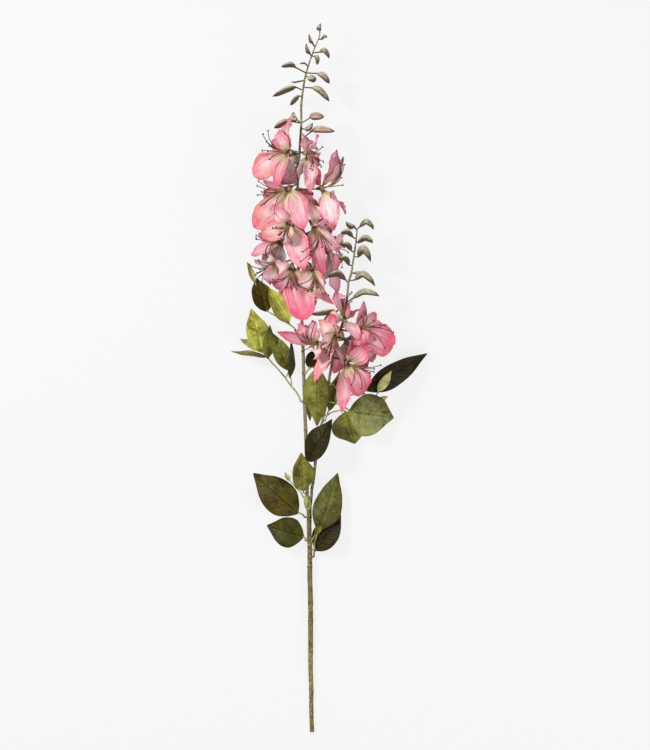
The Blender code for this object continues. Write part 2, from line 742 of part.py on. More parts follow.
def ways_out(lifts, shifts, shares, rolls=(0,)):
    """All ways to bend a piece aside, the least change first: how far its tip goes up,
    how far sideways, how much of its reach is left, and how far it is rolled."""
    ways = itertools.product(lifts, shifts, shares, rolls)
    return sorted(ways, key=lambda w: abs(w[0]) / 4 + abs(w[1]) / 3 + (1 - w[2]) * 22 + abs(w[3]) / 14)


def bent_tip(foot, tip, lift, shift, share, least):
    """Where a tip ends up after one such bend."""
    reach = tip - foot
    side = Vector((-reach.y, reach.x, 0.0))
    side = side.normalized() if side.length > 1.0 else Vector((1.0, 0.0, 0.0))
    there = foot + reach * share + side * shift + Vector((0.0, 0.0, lift))
    there.z = max(there.z, least)
    return there


PETAL_WAYS = ways_out((0, 3, -3, 6, -6, 10, -10, 15, -15, 20), (0, 4, -4, 8, -8), (1, 0.9, 0.8, 0.68, 0.55),
                      (0, 20, -20, 40, -40))
LEAF_WAYS = ways_out((0, 3, -3, 6, -6, 10, -10, 15, -15), (0, 4, -4, 8, -8), (1, 0.93, 0.85, 0.75),
                     (0, 15, -15, 30, -30))
STAMEN_WAYS = ways_out((0, 4, 8, 12, -4, 17, -8, 24, -13, 30), (0, 4, -4, 9, -9, 15, -15), (1, 0.85, 0.7, 0.5))
TWIG_WAYS = ways_out((0, 2, -2, 4, -4, 7, -7, 10, -10), (0, 2, -2, 3, -3, 5), (1,))


def settle_petal(name, throat, way, wish, across, siblings):
    """Bend one petal clear of everything, its own bloom's other petals included."""
    node = "petals_" + name
    aim = Vector(wish[:3])
    length = min(PETAL_LENGTH, max(PETAL_SHORTEST, PETAL_SLACK * (aim - throat).length))
    for lift, shift, share, roll in PETAL_WAYS:
        tip = bent_tip(throat, aim, lift, shift, share, 0.5)
        petal = (tip, wish[3] * min(1.0, share / 0.68), length * share, roll)
        if not is_free(node, petal_piece(throat, way, *petal, PETAL_STEPS, across, PETAL_THICK + 2 * GAP),
                       PETAL_TOP):
            continue
        if folds_into_itself(petal_piece(throat, way, *petal, PETAL_STEPS, across, PETAL_THICK)):
            continue
        outer = BVHTree.FromBMesh(petal_piece(throat, way, *petal, PETAL_STEPS[1:], across, PETAL_THICK + GAP))
        if any(outer.overlap(sibling) for sibling in siblings):
            continue
        siblings.append(BVHTree.FromBMesh(petal_piece(throat, way, *petal, PETAL_STEPS[1:], across, PETAL_THICK)))
        return place(node, petal_piece(throat, way, *petal, PETAL_STEPS, across, PETAL_THICK))
    return None


def settle_stamen(name, throat, way, wish):
    node = "stamens_" + name
    for lift, shift, share, _ in STAMEN_WAYS:
        tip = bent_tip(throat, Vector(wish), lift, shift, share, 1.0)
        if (tip - throat).length < 16.0:
            continue
        rows = filament_rows(throat, way, tip)
        if is_free(node, tube(fattened(rows), STAMEN_SIDES), STAMEN_TOP):
            return place(node, tube(rows, STAMEN_SIDES))
    return None


def settle_spray(name, spray, skin):
    """A spray's stalks and leaves. The first stalk starts on its host's skin, and the
    bend that clears it moves the whole spray."""
    main, *twigs = spray["stalks"]
    second = Vector(main[1][:3])
    foot, out, _, _ = skin.find_nearest(Vector(main[0][:3]))
    toward = (second - foot).normalized()
    for lift, shift, _, _ in TWIG_WAYS:
        move = Vector((shift, shift, lift))
        rows = [(*(foot + out * GAP), main[0][3]), (*(foot + out * 2.6 + toward * 0.6), main[0][3])]
        for k, row in enumerate(main[1:]):
            spot = Vector(row[:3]) + move * min(1.0, (k + 1) / 2)
            rows.append((spot.x, spot.y, max(spot.z, row[3]), row[3]))
        trial = fattened(rows)
        trial[0] = rows[0]
        if is_free(name, tube(trial, TWIG_SIDES)):
            break
    pieces = [place(name, tube(rows, TWIG_SIDES))]
    for twig in twigs:
        pieces.append(place(name, tube([(*(Vector(r[:3]) + move), r[3]) for r in twig], TWIG_SIDES)))
    for base, aim, width, wide, rise in spray["leaves"]:
        base = Vector(base) + move
        for lift, shift, share, roll in LEAF_WAYS:
            tip = bent_tip(base, Vector(aim), lift, shift, share, 0.5)
            leaf = (base, tip, width, wide, roll, rise)
            if is_free(name, leaf_piece(*leaf, LEAF_STEPS, 2, LEAF_THICK + 2 * GAP)):
                pieces.append(place(name, leaf_piece(*leaf, LEAF_STEPS, 2, LEAF_THICK)))
                break
    return pieces


def fill_pockets(bm):
    """Where petals cross they can close off a pocket of air; drop its inward-facing skin."""
    left = set(bm.faces)
    while left:
        island = [left.pop()]
        for face in island:
            for edge in face.edges:
                for other in edge.link_faces:
                    if other in left:
                        left.remove(other)
                        island.append(other)
        here = island[0].calc_center_median()
        volume = sum((f.calc_center_median() - here).dot(f.normal) * f.calc_area() for f in island)
        if volume < 0.0:
            bmesh.ops.delete(bm, geom=island, context="FACES")


def weld(name, pieces):
    """Join closed pieces that touch into one closed body by a Boolean union."""
    things = []
    for bm in pieces:
        mesh = bpy.data.meshes.new(name)
        bm.to_mesh(mesh)
        bm.free()
        thing = bpy.data.objects.new(name, mesh)
        bpy.context.scene.collection.objects.link(thing)
        things.append(thing)
    body = things[0]
    if len(things) > 1:
        rest = bpy.data.collections.new(name + "_rest")
        bpy.context.scene.collection.children.link(rest)
        for thing in things[1:]:
            bpy.context.scene.collection.objects.unlink(thing)
            rest.objects.link(thing)
        union = body.modifiers.new("weld", "BOOLEAN")
        union.operation = "UNION"
        union.operand_type = "COLLECTION"
        union.collection = rest
        union.solver = "EXACT"
        union.use_self = True
        joined = bpy.data.meshes.new_from_object(body.evaluated_get(bpy.context.evaluated_depsgraph_get()))
        body.modifiers.clear()
        body.data = joined
        for thing in things[1:]:
            bpy.data.objects.remove(thing, do_unlink=True)
        bpy.data.collections.remove(rest)
    bm = bmesh.new()
    bm.from_mesh(body.data)
    bmesh.ops.remove_doubles(bm, verts=bm.verts[:], dist=0.003)
    bmesh.ops.dissolve_degenerate(bm, edges=bm.edges[:], dist=0.002)
    bmesh.ops.triangulate(bm, faces=bm.faces[:])
    bm.normal_update()
    fill_pockets(bm)
    bm.to_mesh(body.data)
    bm.free()
    return body

def colour(name, rgba, rough):
    """A plain material of its own for one piece."""
    made = bpy.data.materials.new(name)
    made.use_nodes = True
    shader = made.node_tree.nodes["Principled BSDF"]
    shader.inputs["Base Color"].default_value = rgba
    shader.inputs["Roughness"].default_value = rough
    made.diffuse_color = rgba
    return made


def finish(name, pieces, rgba, rough):
    """One finished sub-part: welded, moved to its place, turned to metres and coloured."""
    body = weld(name, pieces)
    body.data.transform(Matrix.Scale(UNIT, 4) @ Matrix.Translation((-CENTRE_X, -CENTRE_Y, 0.0)))
    body.data.materials.clear()
    body.data.materials.append(colour(name, rgba, rough))
    body.name = name
    body.data.name = name


# The stalk and the two spikes. A spike holds its stem, its buds and the short stalks
# and calyces of its blooms in one body.
finish("lower_stalk", [place("lower_stalk", tube(LOWER_STALK, STALK_SIDES))], STALK_BROWN, 0.75)
skins = {"lower_stalk": placed[0][1]}
looks = {name: (Vector(b["throat"]), Vector(b["facing"]).normalized()) for name, b in BLOOMS.items()}
for spike, path, buds, key in (("main_spike", MAIN_SPIKE, MAIN_BUDS, "main_"),
                               ("side_spike", SIDE_SPIKE, SIDE_BUDS, "side_")):
    centre = smooth(path, 6)
    pieces = [place(spike, tube(path, SPIKE_SIDES))]
    skins[spike] = placed[-1][1]
    for foot, *bud in buds:
        pieces.append(place(spike, tube(bud_rows(nearest_on(centre, Vector(foot)), *bud), BUD_SIDES)))
    for name, look in looks.items():
        if name.startswith(key):
            pieces.append(place(spike, tube(pedicel_rows(centre, *look), BUD_SIDES)))
    finish(spike, pieces, SPIKE_OLIVE, 0.7)

# Each bloom's cup and the post of its stamens come before any petal.
petals = {}
stamens = {}
for name, look in looks.items():
    petals[name] = [place("petals_" + name, tube(cup_rows(*look), CUP_SIDES))]
    if BLOOMS[name]["stamens"]:
        stamens[name] = [place("stamens_" + name, tube(column_rows(*look), TWIG_SIDES))]

# The petals in view go first, the uppermost before the others; then the rest of each
# bloom, and the blooms that face the surface last.
queue = []
for name, bloom in BLOOMS.items():
    for k, wish in enumerate(bloom["petals"]):
        turn = 2 if not bloom["stamens"] else int(k > 2)
        queue.append((turn, -wish[2], name, wish))
queue.sort(key=lambda job: job[:2])
siblings = {name: [] for name in BLOOMS}
for _, _, name, wish in queue:
    across = 2 if BLOOMS[name]["stamens"] else 1
    piece = settle_petal(name, *looks[name], wish, across, siblings[name])
    if piece is not None:
        petals[name].append(piece)
for name, pieces in petals.items():
    finish("petals_" + name, pieces, PETAL_PINK, 0.6)

for name, spray in SPRAYS.items():
    finish(name, settle_spray(name, spray, skins[spray["host"]]), LEAF_COLOURS[name], 0.65)

for name, pieces in stamens.items():
    for wish in BLOOMS[name]["stamens"]:
        piece = settle_stamen(name, *looks[name], wish)
        if piece is not None:
            pieces.append(piece)
    finish("stamens_" + name, pieces, STAMEN_BROWN, 0.6)
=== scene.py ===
# %% [markdown]
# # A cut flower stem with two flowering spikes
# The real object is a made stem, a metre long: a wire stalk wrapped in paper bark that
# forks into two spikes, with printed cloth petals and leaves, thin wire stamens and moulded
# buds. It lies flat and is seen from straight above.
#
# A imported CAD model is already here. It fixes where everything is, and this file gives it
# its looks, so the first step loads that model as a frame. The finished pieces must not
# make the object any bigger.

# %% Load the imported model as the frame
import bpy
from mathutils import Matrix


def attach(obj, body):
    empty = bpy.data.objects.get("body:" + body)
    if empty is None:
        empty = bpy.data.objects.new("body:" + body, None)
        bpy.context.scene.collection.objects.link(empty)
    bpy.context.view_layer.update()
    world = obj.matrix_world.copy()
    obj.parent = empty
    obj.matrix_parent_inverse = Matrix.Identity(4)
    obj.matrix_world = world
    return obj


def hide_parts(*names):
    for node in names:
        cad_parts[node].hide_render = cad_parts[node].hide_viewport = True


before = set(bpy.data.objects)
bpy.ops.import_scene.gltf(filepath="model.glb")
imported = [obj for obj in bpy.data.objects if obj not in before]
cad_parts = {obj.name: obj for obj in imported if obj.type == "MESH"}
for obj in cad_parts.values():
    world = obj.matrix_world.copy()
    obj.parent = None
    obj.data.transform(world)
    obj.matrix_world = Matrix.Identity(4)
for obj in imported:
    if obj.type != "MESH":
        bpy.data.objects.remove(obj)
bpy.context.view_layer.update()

# %% What the rest of the file needs
import itertools
import math
import random
from collections import namedtuple

import bpy
import bmesh
from mathutils import Matrix, Vector, noise
from mathutils.bvhtree import BVHTree

# %% [markdown]
# ## Driving dimensions
# A maker works in millimetres from the cut end of the stalk, and so do the tables here: x to
# the right, y towards the tip, z above the surface. Meshes are modelled in those
# millimetres and moved into the frame, in metres, at the very end.

# %% Sizes that the whole stem shares, in mm
MM = 0.001
CENTRE_X = 23.0
CENTRE_Y = 496.0
INTO_FRAME = Matrix.Scale(MM, 4) @ Matrix.Translation((-CENTRE_X, -CENTRE_Y, 0.0))

PETAL_THICK = 0.7
LEAF_THICK = 0.8
GAP = 0.35              # kept free between neighbours
PETAL_LENGTH = 63.0     # the longest petals, measured along the cloth
PETAL_SHORTEST = 44.0
PETAL_SLACK = 1.12      # cloth length of a petal, as a share of the straight way to its tip
PETAL_RISE = 1.5        # how strongly petals bow upwards before they curl back
PETAL_LEAST = 22.0      # a petal that looks narrower than this is seen from its side
PETAL_NARROWS = 0.68    # a petal pushed back below this share of its reach gets narrower too
PETAL_CUP = 0.16        # how deep a petal is dished across, as a share of half its width
LEAF_CUP = 0.20
PETAL_TOP = 93.0        # no petal stands higher than this, and no stamen than the next
STAMEN_TOP = 99.0
STAMEN_SHORTEST = 16.0

# How wide a blade is along its length, as a share of its full width.
PETAL_OUTLINE = [(0.0, 0.15), (0.2, 0.25), (0.4, 0.70), (0.58, 1.0), (0.74, 0.95), (0.88, 0.60), (1.0, 0.06)]
LEAF_OUTLINE = [(0.0, 0.07), (0.1, 0.50), (0.27, 0.93), (0.45, 1.0), (0.65, 0.80), (0.85, 0.36), (1.0, 0.04)]

# %% [markdown]
# ## Stems and buds
# The stems aren't straight: the wire inside was bent by hand. Each is a row of places with a
# radius. A closed bud is a claw: a thin foot, a fat middle and a pointed, turned-down tip.

# %% The three stems: x, y, height above the surface, radius
LOWER_STALK = [
    (0, 0, 3, 2.9), (-1, 32, 3.4, 3), (-1, 62, 4, 3), (-2, 88, 4.6, 3.2), (-2, 115, 5.2, 3.4),
    (-2, 148, 6, 3.5), (-2, 181, 6.9, 3.5), (-3, 217, 8, 3.4), (-3, 255, 9.2, 3.4), (-4, 284, 11, 3.3),
    (-4, 309, 13, 3.5), (-5, 318, 13.8, 4.6),
]
MAIN_SPIKE = [
    (-7, 319, 13.9, 2.4), (-7, 332, 14.9, 2.5), (-7, 368, 17, 2.5), (-9, 424, 20, 2.5),
    (-11, 482, 26, 2.4), (-12, 522, 31, 2.3), (-13, 550, 34.5, 2.3), (-15, 592, 38, 2.2),
    (-20, 676, 42, 2), (-20, 760, 42, 1.9), (-18, 802, 43, 1.8), (-15, 853, 44, 1.6),
    (-15, 878, 44.5, 1.5), (-12, 903, 45, 1.4), (-8, 923, 45.5, 1.2), (1, 951, 46.5, 1),
    (10, 973, 47.5, 0.8), (11, 981, 48, 0.8),
]
SIDE_SPIKE = [
    (-2, 319, 13.9, 1.9), (-1, 330, 14.9, 2), (0, 343, 16, 2), (3, 360, 17.2, 2), (8, 416, 22, 2),
    (13, 431, 24, 1.9), (18, 452, 27, 1.9), (22, 479, 31, 1.9), (25, 501, 35, 1.9), (34, 550, 45, 1.8),
    (42, 571, 49, 1.8), (47, 590, 51, 1.7), (51, 629, 52, 1.5), (55, 644, 52, 1.4), (60, 677, 52, 1.2),
    (62, 693, 52, 1.1), (63, 705, 52, 0.9),
]

# %% Closed buds: foot of the stalk, foot of the bud, thickest place, tip, radius there
MAIN_BUDS = [
    ((-10, 922, 46), (-23, 931, 47), (-32, 938, 51), (-43, 931, 50), 3.5),
    ((-13, 900, 44), (-22, 903, 45), (-39, 902, 49), (-55, 890, 48), 3.9),
    ((-14, 889, 44), (-18, 891, 43), (-25, 888, 43), (-30, 878, 40), 3.2),
    ((-16, 855, 44), (-31, 856, 45), (-43, 856, 49), (-53, 846, 48), 4.3),
    ((-16, 853, 42), (-22, 859, 40), (-26, 862, 40), (-26, 869, 36), 4.3),
    ((-15, 854, 46), (-3, 860, 47), (7, 866, 51), (17, 862, 50), 4.9),
    ((-16, 833, 46), (-1, 841, 47), (15, 847, 51), (32, 841, 50), 4.3),
    ((-16, 844, 45), (-8, 844, 47), (-4, 848, 52), (1, 853, 52), 3.5),
    ((-12, 903, 46), (0, 902, 47), (13, 900, 51), (24, 883, 50), 4.1),
    ((-7, 923, 46), (8, 922, 47), (18, 920, 51), (24, 908, 50), 3.8),
    ((-8, 918, 48), (-4, 916, 50), (1, 917, 57), (5, 917, 58), 4.3),
    ((1, 951, 47), (11, 952, 48), (19, 956, 51), (24, 943, 50), 3.2),
    ((-1, 945, 47), (4, 946, 48), (8, 945, 51), (7, 934, 50), 2.8),
    ((0, 946, 47), (-3, 950, 48), (-6, 956, 51), (-8, 964, 50), 2.6),
    ((5, 958, 47), (1, 964, 48), (-2, 970, 51), (-4, 977, 50), 2.3),
    ((11, 980, 48), (11, 983, 48), (10, 988, 51), (12, 992, 49), 3),
    ((10, 970, 48), (14, 970, 48), (18, 976, 51), (21, 972, 50), 2.2),
    ((-11, 912, 46), (-20, 911, 46), (-24, 911, 49), (-29, 911, 47), 1.3),
    ((-4, 932, 46), (-9, 936, 46), (-13, 938, 49), (-17, 936, 48), 1.4),
]
SIDE_BUDS = [
    ((63, 704, 52), (60, 707, 53), (53, 712, 57), (48, 715, 56), 3.5),
    ((63, 705, 52), (67, 708, 54), (78, 718, 58), (86, 704, 58), 3.6),
    ((61, 691, 52), (57, 694, 53), (48, 705, 57), (40, 698, 56), 3.6),
    ((61, 688, 52), (64, 686, 54), (76, 696, 58), (85, 685, 58), 3.8),
    ((59, 673, 52), (55, 675, 53), (49, 687, 57), (40, 683, 56), 3.8),
    ((59, 668, 52), (64, 666, 54), (73, 681, 60), (82, 659, 60), 4.6),
    ((56, 654, 52), (52, 655, 53), (46, 668, 57), (38, 662, 56), 3.6),
    ((52, 633, 52), (60, 634, 54), (74, 645, 58), (88, 625, 58), 4.3),
    ((54, 643, 52), (59, 643, 50), (66, 645, 50), (74, 643, 46), 2.6),
    ((51, 630, 52), (47, 634, 53), (34, 648, 57), (22, 637, 56), 4.3),
    ((50, 605, 52), (57, 608, 54), (76, 621, 58), (94, 611, 58), 4.1),
    ((49, 606, 52), (34, 590, 56), (15, 591, 67), (-2, 586, 70), 3.5),
]
print("buds", len(MAIN_BUDS) + len(SIDE_BUDS))

# %% [markdown]
# ## Blooms
# A bloom has a throat, a direction it looks in, and about five petals around it. A petal is
# given by its tip and by how wide it looks from above. The cloth was printed in several
# batches, so every petal also has a print. Last come the places of a few anthers. Blooms
# 12 to 15 of the main spike and 6 of the side spike look down at the surface.

# %% Blooms: throat, where it looks, prints, petals (tip and width from above), anthers
Bloom = namedtuple("Bloom", "throat facing prints petals stamens")
BLOOMS = {
    "main_01": Bloom(
        (-27, 811, 46), (-0.8, 0.1, 0.5), "pink rose salmon rose grey mauve",
        [(-46, 843, 56, 18), (-57, 826, 40, 14), (-82, 780, 50, 36), (-50, 761, 62, 16), (-25, 782, 36, 13),
         (-40, 858, 52, 7)],
        [(-62, 813, 58), (-61, 841, 62), (-59, 802, 56), (-55, 822, 66)]),
    "main_02": Bloom(
        (-10, 811, 52), (0.5, -0.2, 0.8), "pale pale pink rose grey",
        [(-2, 756, 66, 20), (-13, 838, 60, 13), (9, 836, 58, 9), (8, 793, 50, 12), (-19, 777, 56, 14)],
        [(16, 798, 66), (-1, 792, 74), (7, 816, 72), (10, 788, 66)]),
    "main_03": Bloom(
        (11, 762, 50), (0.8, 0.1, 0.5), "pale pink pale rose rose",
        [(34, 813, 58, 24), (44, 803, 62, 12), (30, 703, 56, 27), (17, 712, 46, 19), (44, 724, 40, 12)],
        [(43, 804, 68), (45, 794, 68), (41, 776, 70), (43, 766, 62)]),
    "main_04": Bloom(
        (-31, 763, 54), (-0.6, -0.3, 0.7), "salmon mauve rose salmon mauve",
        [(-80, 706, 60, 36), (-11, 704, 79, 36), (-68, 771, 44, 13), (-54, 719, 42, 19), (10, 738, 44, 15)],
        [(-76, 752, 66), (-70, 756, 72), (-62, 750, 76), (-67, 739, 70)]),
    "main_05": Bloom(
        (-29, 715, 56), (-0.3, -0.5, 0.8), "salmon pink pink cream mauve",
        [(-74, 699, 50, 28), (-55, 738, 62, 19), (-11, 647, 74, 34), (-38, 684, 58, 14), (-4, 735, 52, 16)],
        [(-45, 696, 80), (-50, 707, 78), (-39, 690, 84)]),
    "main_06": Bloom(
        (0, 713, 54), (0.5, -0.6, 0.6), "rose pink pink pale cream",
        [(16, 638, 70, 18), (20, 711, 66, 10), (2, 668, 46, 16), (31, 669, 50, 14), (-2, 744, 52, 16)],
        [(27, 682, 76), (20, 676, 80), (14, 679, 82)]),
    "main_07": Bloom(
        (-38, 687, 44), (-0.9, 0, 0.4), "pink pale salmon grey pink",
        [(-85, 669, 40, 22), (-70, 659, 34, 19), (-76, 693, 44, 14), (-56, 632, 34, 19), (-50, 728, 40, 15)],
        [(-78, 687, 52), (-76, 682, 56), (-64, 668, 56)]),
    "main_08": Bloom(
        (18, 675, 40), (0.8, 0.2, 0.1), "pale rose pale pink grey",
        [(44, 696, 46, 15), (34, 647, 48, 15), (35, 612, 40, 15), (8, 697, 34, 16), (14, 627, 26, 16)],
        [(41, 659, 50), (42, 669, 46), (39, 680, 50)]),
    "main_09": Bloom(
        (-43, 658, 42), (-0.7, -0.3, 0.3), "pale grey grey pink pale",
        [(-57, 629, 50, 27), (-80, 660, 40, 12), (-65, 668, 38, 16), (-31, 606, 32, 19), (-66, 641, 26, 15)],
        [(-70, 640, 54), (-73, 648, 56)]),
    "main_10": Bloom(
        (-28, 654, 58), (-0.1, -0.7, 0.7), "mauve rose pink pale",
        [(-42, 620, 62, 22), (-10, 578, 72, 42), (30, 600, 66, 16), (-52, 659, 64, 19)],
        [(-28, 620, 84), (-35, 623, 82), (-21, 620, 84)]),
    "main_11": Bloom(
        (0, 652, 56), (0.2, -0.6, 0.8), "cream cream mauve rose",
        [(6, 605, 62, 27), (-17, 620, 58, 19), (15, 627, 54, 17), (8, 683, 56, 16)],
        [(-10, 619, 80), (-1, 617, 80), (8, 623, 78)]),
    "main_12": Bloom(
        (-18, 795, 30), (0.2, 0.1, -0.9), "grey pink rose pink",
        [(-45, 812, 12, 25), (8, 812, 12, 25), (10, 768, 5, 25), (-44, 768, 6, 25)],
        []),
    "main_13": Bloom(
        (-29, 746, 30), (-0.4, 0, -0.9), "salmon pink mauve rose",
        [(-68, 760, 8, 27), (-64, 716, 1, 27), (-24, 701, 1, 27), (2, 756, 8, 25)],
        []),
    "main_14": Bloom(
        (-10, 697, 30), (0.4, 0.1, -0.9), "pink rose pink grey",
        [(30, 714, 6, 27), (26, 670, 1, 27), (-20, 656, 1, 27), (-38, 704, 8, 25)],
        []),
    "main_15": Bloom(
        (-21, 641, 30), (0, -0.2, -0.9), "pale pink rose pink",
        [(-52, 652, 6, 27), (-44, 604, 0.5, 29), (4, 596, 0.5, 29), (14, 650, 6, 27)],
        []),
    "side_01": Bloom(
        (14, 545, 62), (-0.8, -0.2, 0.5), "rose mauve cream cream pink mauve",
        [(-48, 561, 66, 16), (-20, 573, 54, 22), (2, 533, 48, 12), (9, 526, 73, 14), (24, 512, 44, 17),
         (0, 578, 62, 20)],
        [(-8, 569, 74), (-13, 559, 76), (-14, 550, 74)]),
    "side_02": Bloom(
        (35, 560, 64), (-0.3, -0.5, 0.8), "cream cream pink rose mauve",
        [(10, 577, 72, 20), (18, 543, 80, 15), (3, 491, 70, 16), (28, 586, 66, 11), (44, 515, 56, 15)],
        [(27, 533, 92), (18, 536, 90)]),
    "side_03": Bloom(
        (46, 575, 58), (-0.1, 0.5, 0.5), "pink rose cream rose pale",
        [(42, 619, 60, 17), (52, 601, 70, 11), (16, 582, 52, 20), (67, 592, 54, 12), (66, 551, 74, 17)],
        [(43, 603, 76), (49, 606, 78)]),
    "side_04": Bloom(
        (56, 564, 60), (0.8, 0.2, 0.6), "rose mauve rose rose mauve",
        [(73, 604, 64, 13), (90, 583, 68, 26), (113, 541, 60, 47), (73, 543, 82, 20), (84, 519, 44, 19)],
        [(91, 592, 78), (102, 587, 76), (88, 550, 84), (95, 567, 82)]),
    "side_05": Bloom(
        (46, 520, 58), (0.6, -0.3, 0.6), "rose pink rose rose rose",
        [(72, 475, 66, 36), (42, 449, 62, 21), (76, 539, 76, 28), (57, 478, 72, 18), (56, 550, 60, 16)],
        [(81, 504, 80), (69, 482, 84), (76, 515, 86), (88, 529, 80)]),
    "side_06": Bloom(
        (48, 550, 40), (0.1, 0, -0.9), "pink rose mauve rose",
        [(10, 566, 18, 27), (30, 504, 8, 27), (78, 512, 8, 27), (84, 572, 16, 27)],
        []),
}

# %% [markdown]
# ## Leaves
# Broad leaves sit on thin twigs. Each spray starts at its host stem. Its stalks are rows of
# places with a radius. A leaf is its foot, its tip, the width that shows, its real width, how
# much it arches, and its dye.

# %% Sprays: host stem, material slot, stalks, leaves
Spray = namedtuple("Spray", "host slot stalks leaves")
SPRAYS = {
    "leaf_low_left_big": Spray(
        "lower_stalk", "leaf_dark",
        [[(-7, 302, 12.5, 1.3), (-14, 306, 13.5, 1.2), (-22, 309, 12.5, 1.1)]],
        [((-20, 307, 13), (-82, 363, 1), 48, 48, 0.16, "brown")]),
    "leaf_low_left_small": Spray(
        "lower_stalk", "leaf_dark",
        [[(-7, 269, 10, 1.3), (-9, 272, 10.5, 1.2), (-13, 275, 10.2, 1.1)]],
        [((-12, 274, 10), (-63, 290, 0.9), 42, 42, 0.14, "dark")]),
    "leaf_low_right_big": Spray(
        "lower_stalk", "leaf_grey",
        [[(0, 256, 9.5, 1.3), (4, 269, 12, 1.2), (10, 286, 14, 1.1)]],
        [((10, 283, 14), (36, 363, 3), 39, 42, 0.14, "green")]),
    "leaf_low_right_small": Spray(
        "lower_stalk", "leaf_dark",
        [[(0, 246, 8, 1.3), (3, 252, 7, 1.2), (7, 258, 6, 1.1)]],
        [((5, 255, 6), (46, 300, 0.9), 36, 39, 0.12, "black")]),
    "sprout_low_left": Spray(
        "main_spike", "leaf_lime",
        [[(-10, 330, 15.5, 1), (-16, 337, 17.5, 0.9), (-22, 343, 17, 0.8), (-32, 354, 15, 0.7)]],
        [((-31, 353, 15), (-38, 365, 12), 7, 8, 0.1, "pale")]),
    "sprout_low_right": Spray(
        "lower_stalk", "leaf_lime",
        [[(-1, 269, 14, 1), (2, 274, 18, 0.9), (5, 279, 20, 0.8)]],
        [((4, 277, 20), (13, 294, 21), 8, 10, 0.1, "olive")]),
    "leaf_mid_light": Spray(
        "main_spike", "leaf_lime",
        [[(-8, 335, 17, 1.1), (-12, 337, 22, 1.1), (-13, 342, 24, 1)]],
        [((-12, 339, 23), (-15, 392, 27), 31, 34, 0.12, "olive")]),
    "leaf_mid_dark": Spray(
        "main_spike", "leaf_dark",
        [[(-11, 375, 20, 1.2), (-11, 377, 24, 1.2), (-5, 382, 27, 1.1)]],
        [((-7, 381, 26), (31, 437, 34), 32, 37, 0.16, "black")]),
    "leaf_right_front": Spray(
        "side_spike", "leaf_grey",
        [[(21, 465, 31, 1.2), (31, 462, 33.5, 1.1), (43, 458, 34, 1), (55, 449, 33.5, 1)]],
        [((52, 450, 34), (114, 441, 10), 60, 62, 0.14, "grey")]),
    "leaf_right_back": Spray(
        "side_spike", "leaf_dark",
        [[(18, 445, 26, 1.2), (28, 449, 26, 1.1), (43, 452, 25, 1), (49, 448, 24, 1)]],
        [((48, 450, 24), (60, 405, 4), 50, 52, 0.14, "olive")]),
    "spray_far_right": Spray(
        "side_spike", "leaf_dark",
        [[(27, 489, 36, 1.2), (46, 473, 35, 1.1), (64, 476, 34, 1.1), (78, 480, 33, 1)],
         [(71, 477, 33.4, 1), (84, 468, 35, 0.9), (95, 480, 37, 0.7)],
         [(83, 469, 35, 0.9), (87, 464, 35, 0.8), (92, 465, 35, 0.7)]],
        [((76, 479, 33), (161, 531, 0.8), 32, 35, 0.14, "black"),
         ((92, 478, 37), (111, 507, 38), 13, 14, 0.1, "pale"),
         ((91, 465, 35), (106, 471, 36), 8, 10, 0.1, "pale"),
         ((73, 476, 33), (57, 475, 30), 8, 11, 0.1, "dark")]),
    "leaf_centre": Spray(
        "main_spike", "leaf_lime",
        [[(-10, 503, 30, 1.1), (-6, 508, 31, 1.1), (1, 512, 30, 1), (6, 508, 28, 1)],
         [(-4, 509, 31, 1), (-4, 514, 31.5, 0.8)]],
        [((7, 511, 29), (7, 430, 17), 35, 37, 0.1, "moss"),
         ((-4, 511, 31), (4, 537, 24), 19, 21, 0.1, "black")]),
    "leaf_centre_low": Spray(
        "main_spike", "leaf_grey",
        [[(-9, 483, 24, 1), (-6, 482, 22, 1), (-2, 477, 19, 0.9)]],
        [((-3, 479, 20), (-3, 437, 10), 13, 17, 0.1, "grey")]),
    "leaf_centre_right": Spray(
        "side_spike", "leaf_lime",
        [[(15, 437, 24, 1), (20, 442, 25, 0.9), (24, 454, 26, 0.9)]],
        [((24, 451, 26), (35, 507, 31), 14, 20, 0.1, "moss")]),
    "spray_left": Spray(
        "main_spike", "leaf_lime",
        [[(-13, 464, 24, 1.3), (-21, 476, 24.5, 1.2), (-31, 488, 25, 1.2), (-38, 498, 24.5, 1.1),
          (-48, 510, 23, 1.1), (-55, 517, 22, 1.1), (-65, 529, 20, 1), (-78, 540, 18, 0.8)],
         [(-37, 497, 24.6, 1), (-34, 503, 25.5, 0.9), (-31, 511, 26, 0.8)],
         [(-29, 486, 25, 1), (-29, 493, 27, 0.9), (-31, 500, 28, 0.8)]],
        [((-63, 526, 20), (-113, 534, 9), 7, 17, 0.1, "olive"),
         ((-70, 533, 19), (-85, 594, 24), 32, 34, 0.14, "lime"),
         ((-62, 524, 21), (-59, 571, 26), 17, 22, 0.12, "olive"),
         ((-74, 536, 19), (-101, 552, 14), 11, 14, 0.1, "pale"),
         ((-32, 508, 26), (-56, 560, 10), 25, 29, 0.14, "olive"),
         ((-31, 497, 28), (-29, 549, 30), 10, 20, 0.1, "dark")]),
    "spray_upper_left": Spray(
        "main_spike", "leaf_lime",
        [[(-15, 556, 35, 1.1), (-25, 567, 33, 1.1), (-39, 577, 31, 1.1), (-53, 585, 29, 1),
          (-67, 595, 26, 0.9), (-76, 615, 22, 0.8), (-80, 636, 18, 0.7)],
         [(-33, 572, 31.9, 1), (-32, 575, 32.8, 0.9), (-33, 580, 33, 0.8)]],
        [((-63, 590, 27), (-78, 637, 8), 30, 33, 0.14, "brown"),
         ((-32, 575, 33), (-60, 623, 26), 31, 33, 0.14, "lime"),
         ((-80, 630, 19), (-91, 660, 15), 8, 11, 0.1, "pale")]),
}

print("blooms", len(BLOOMS), "sprays", len(SPRAYS))

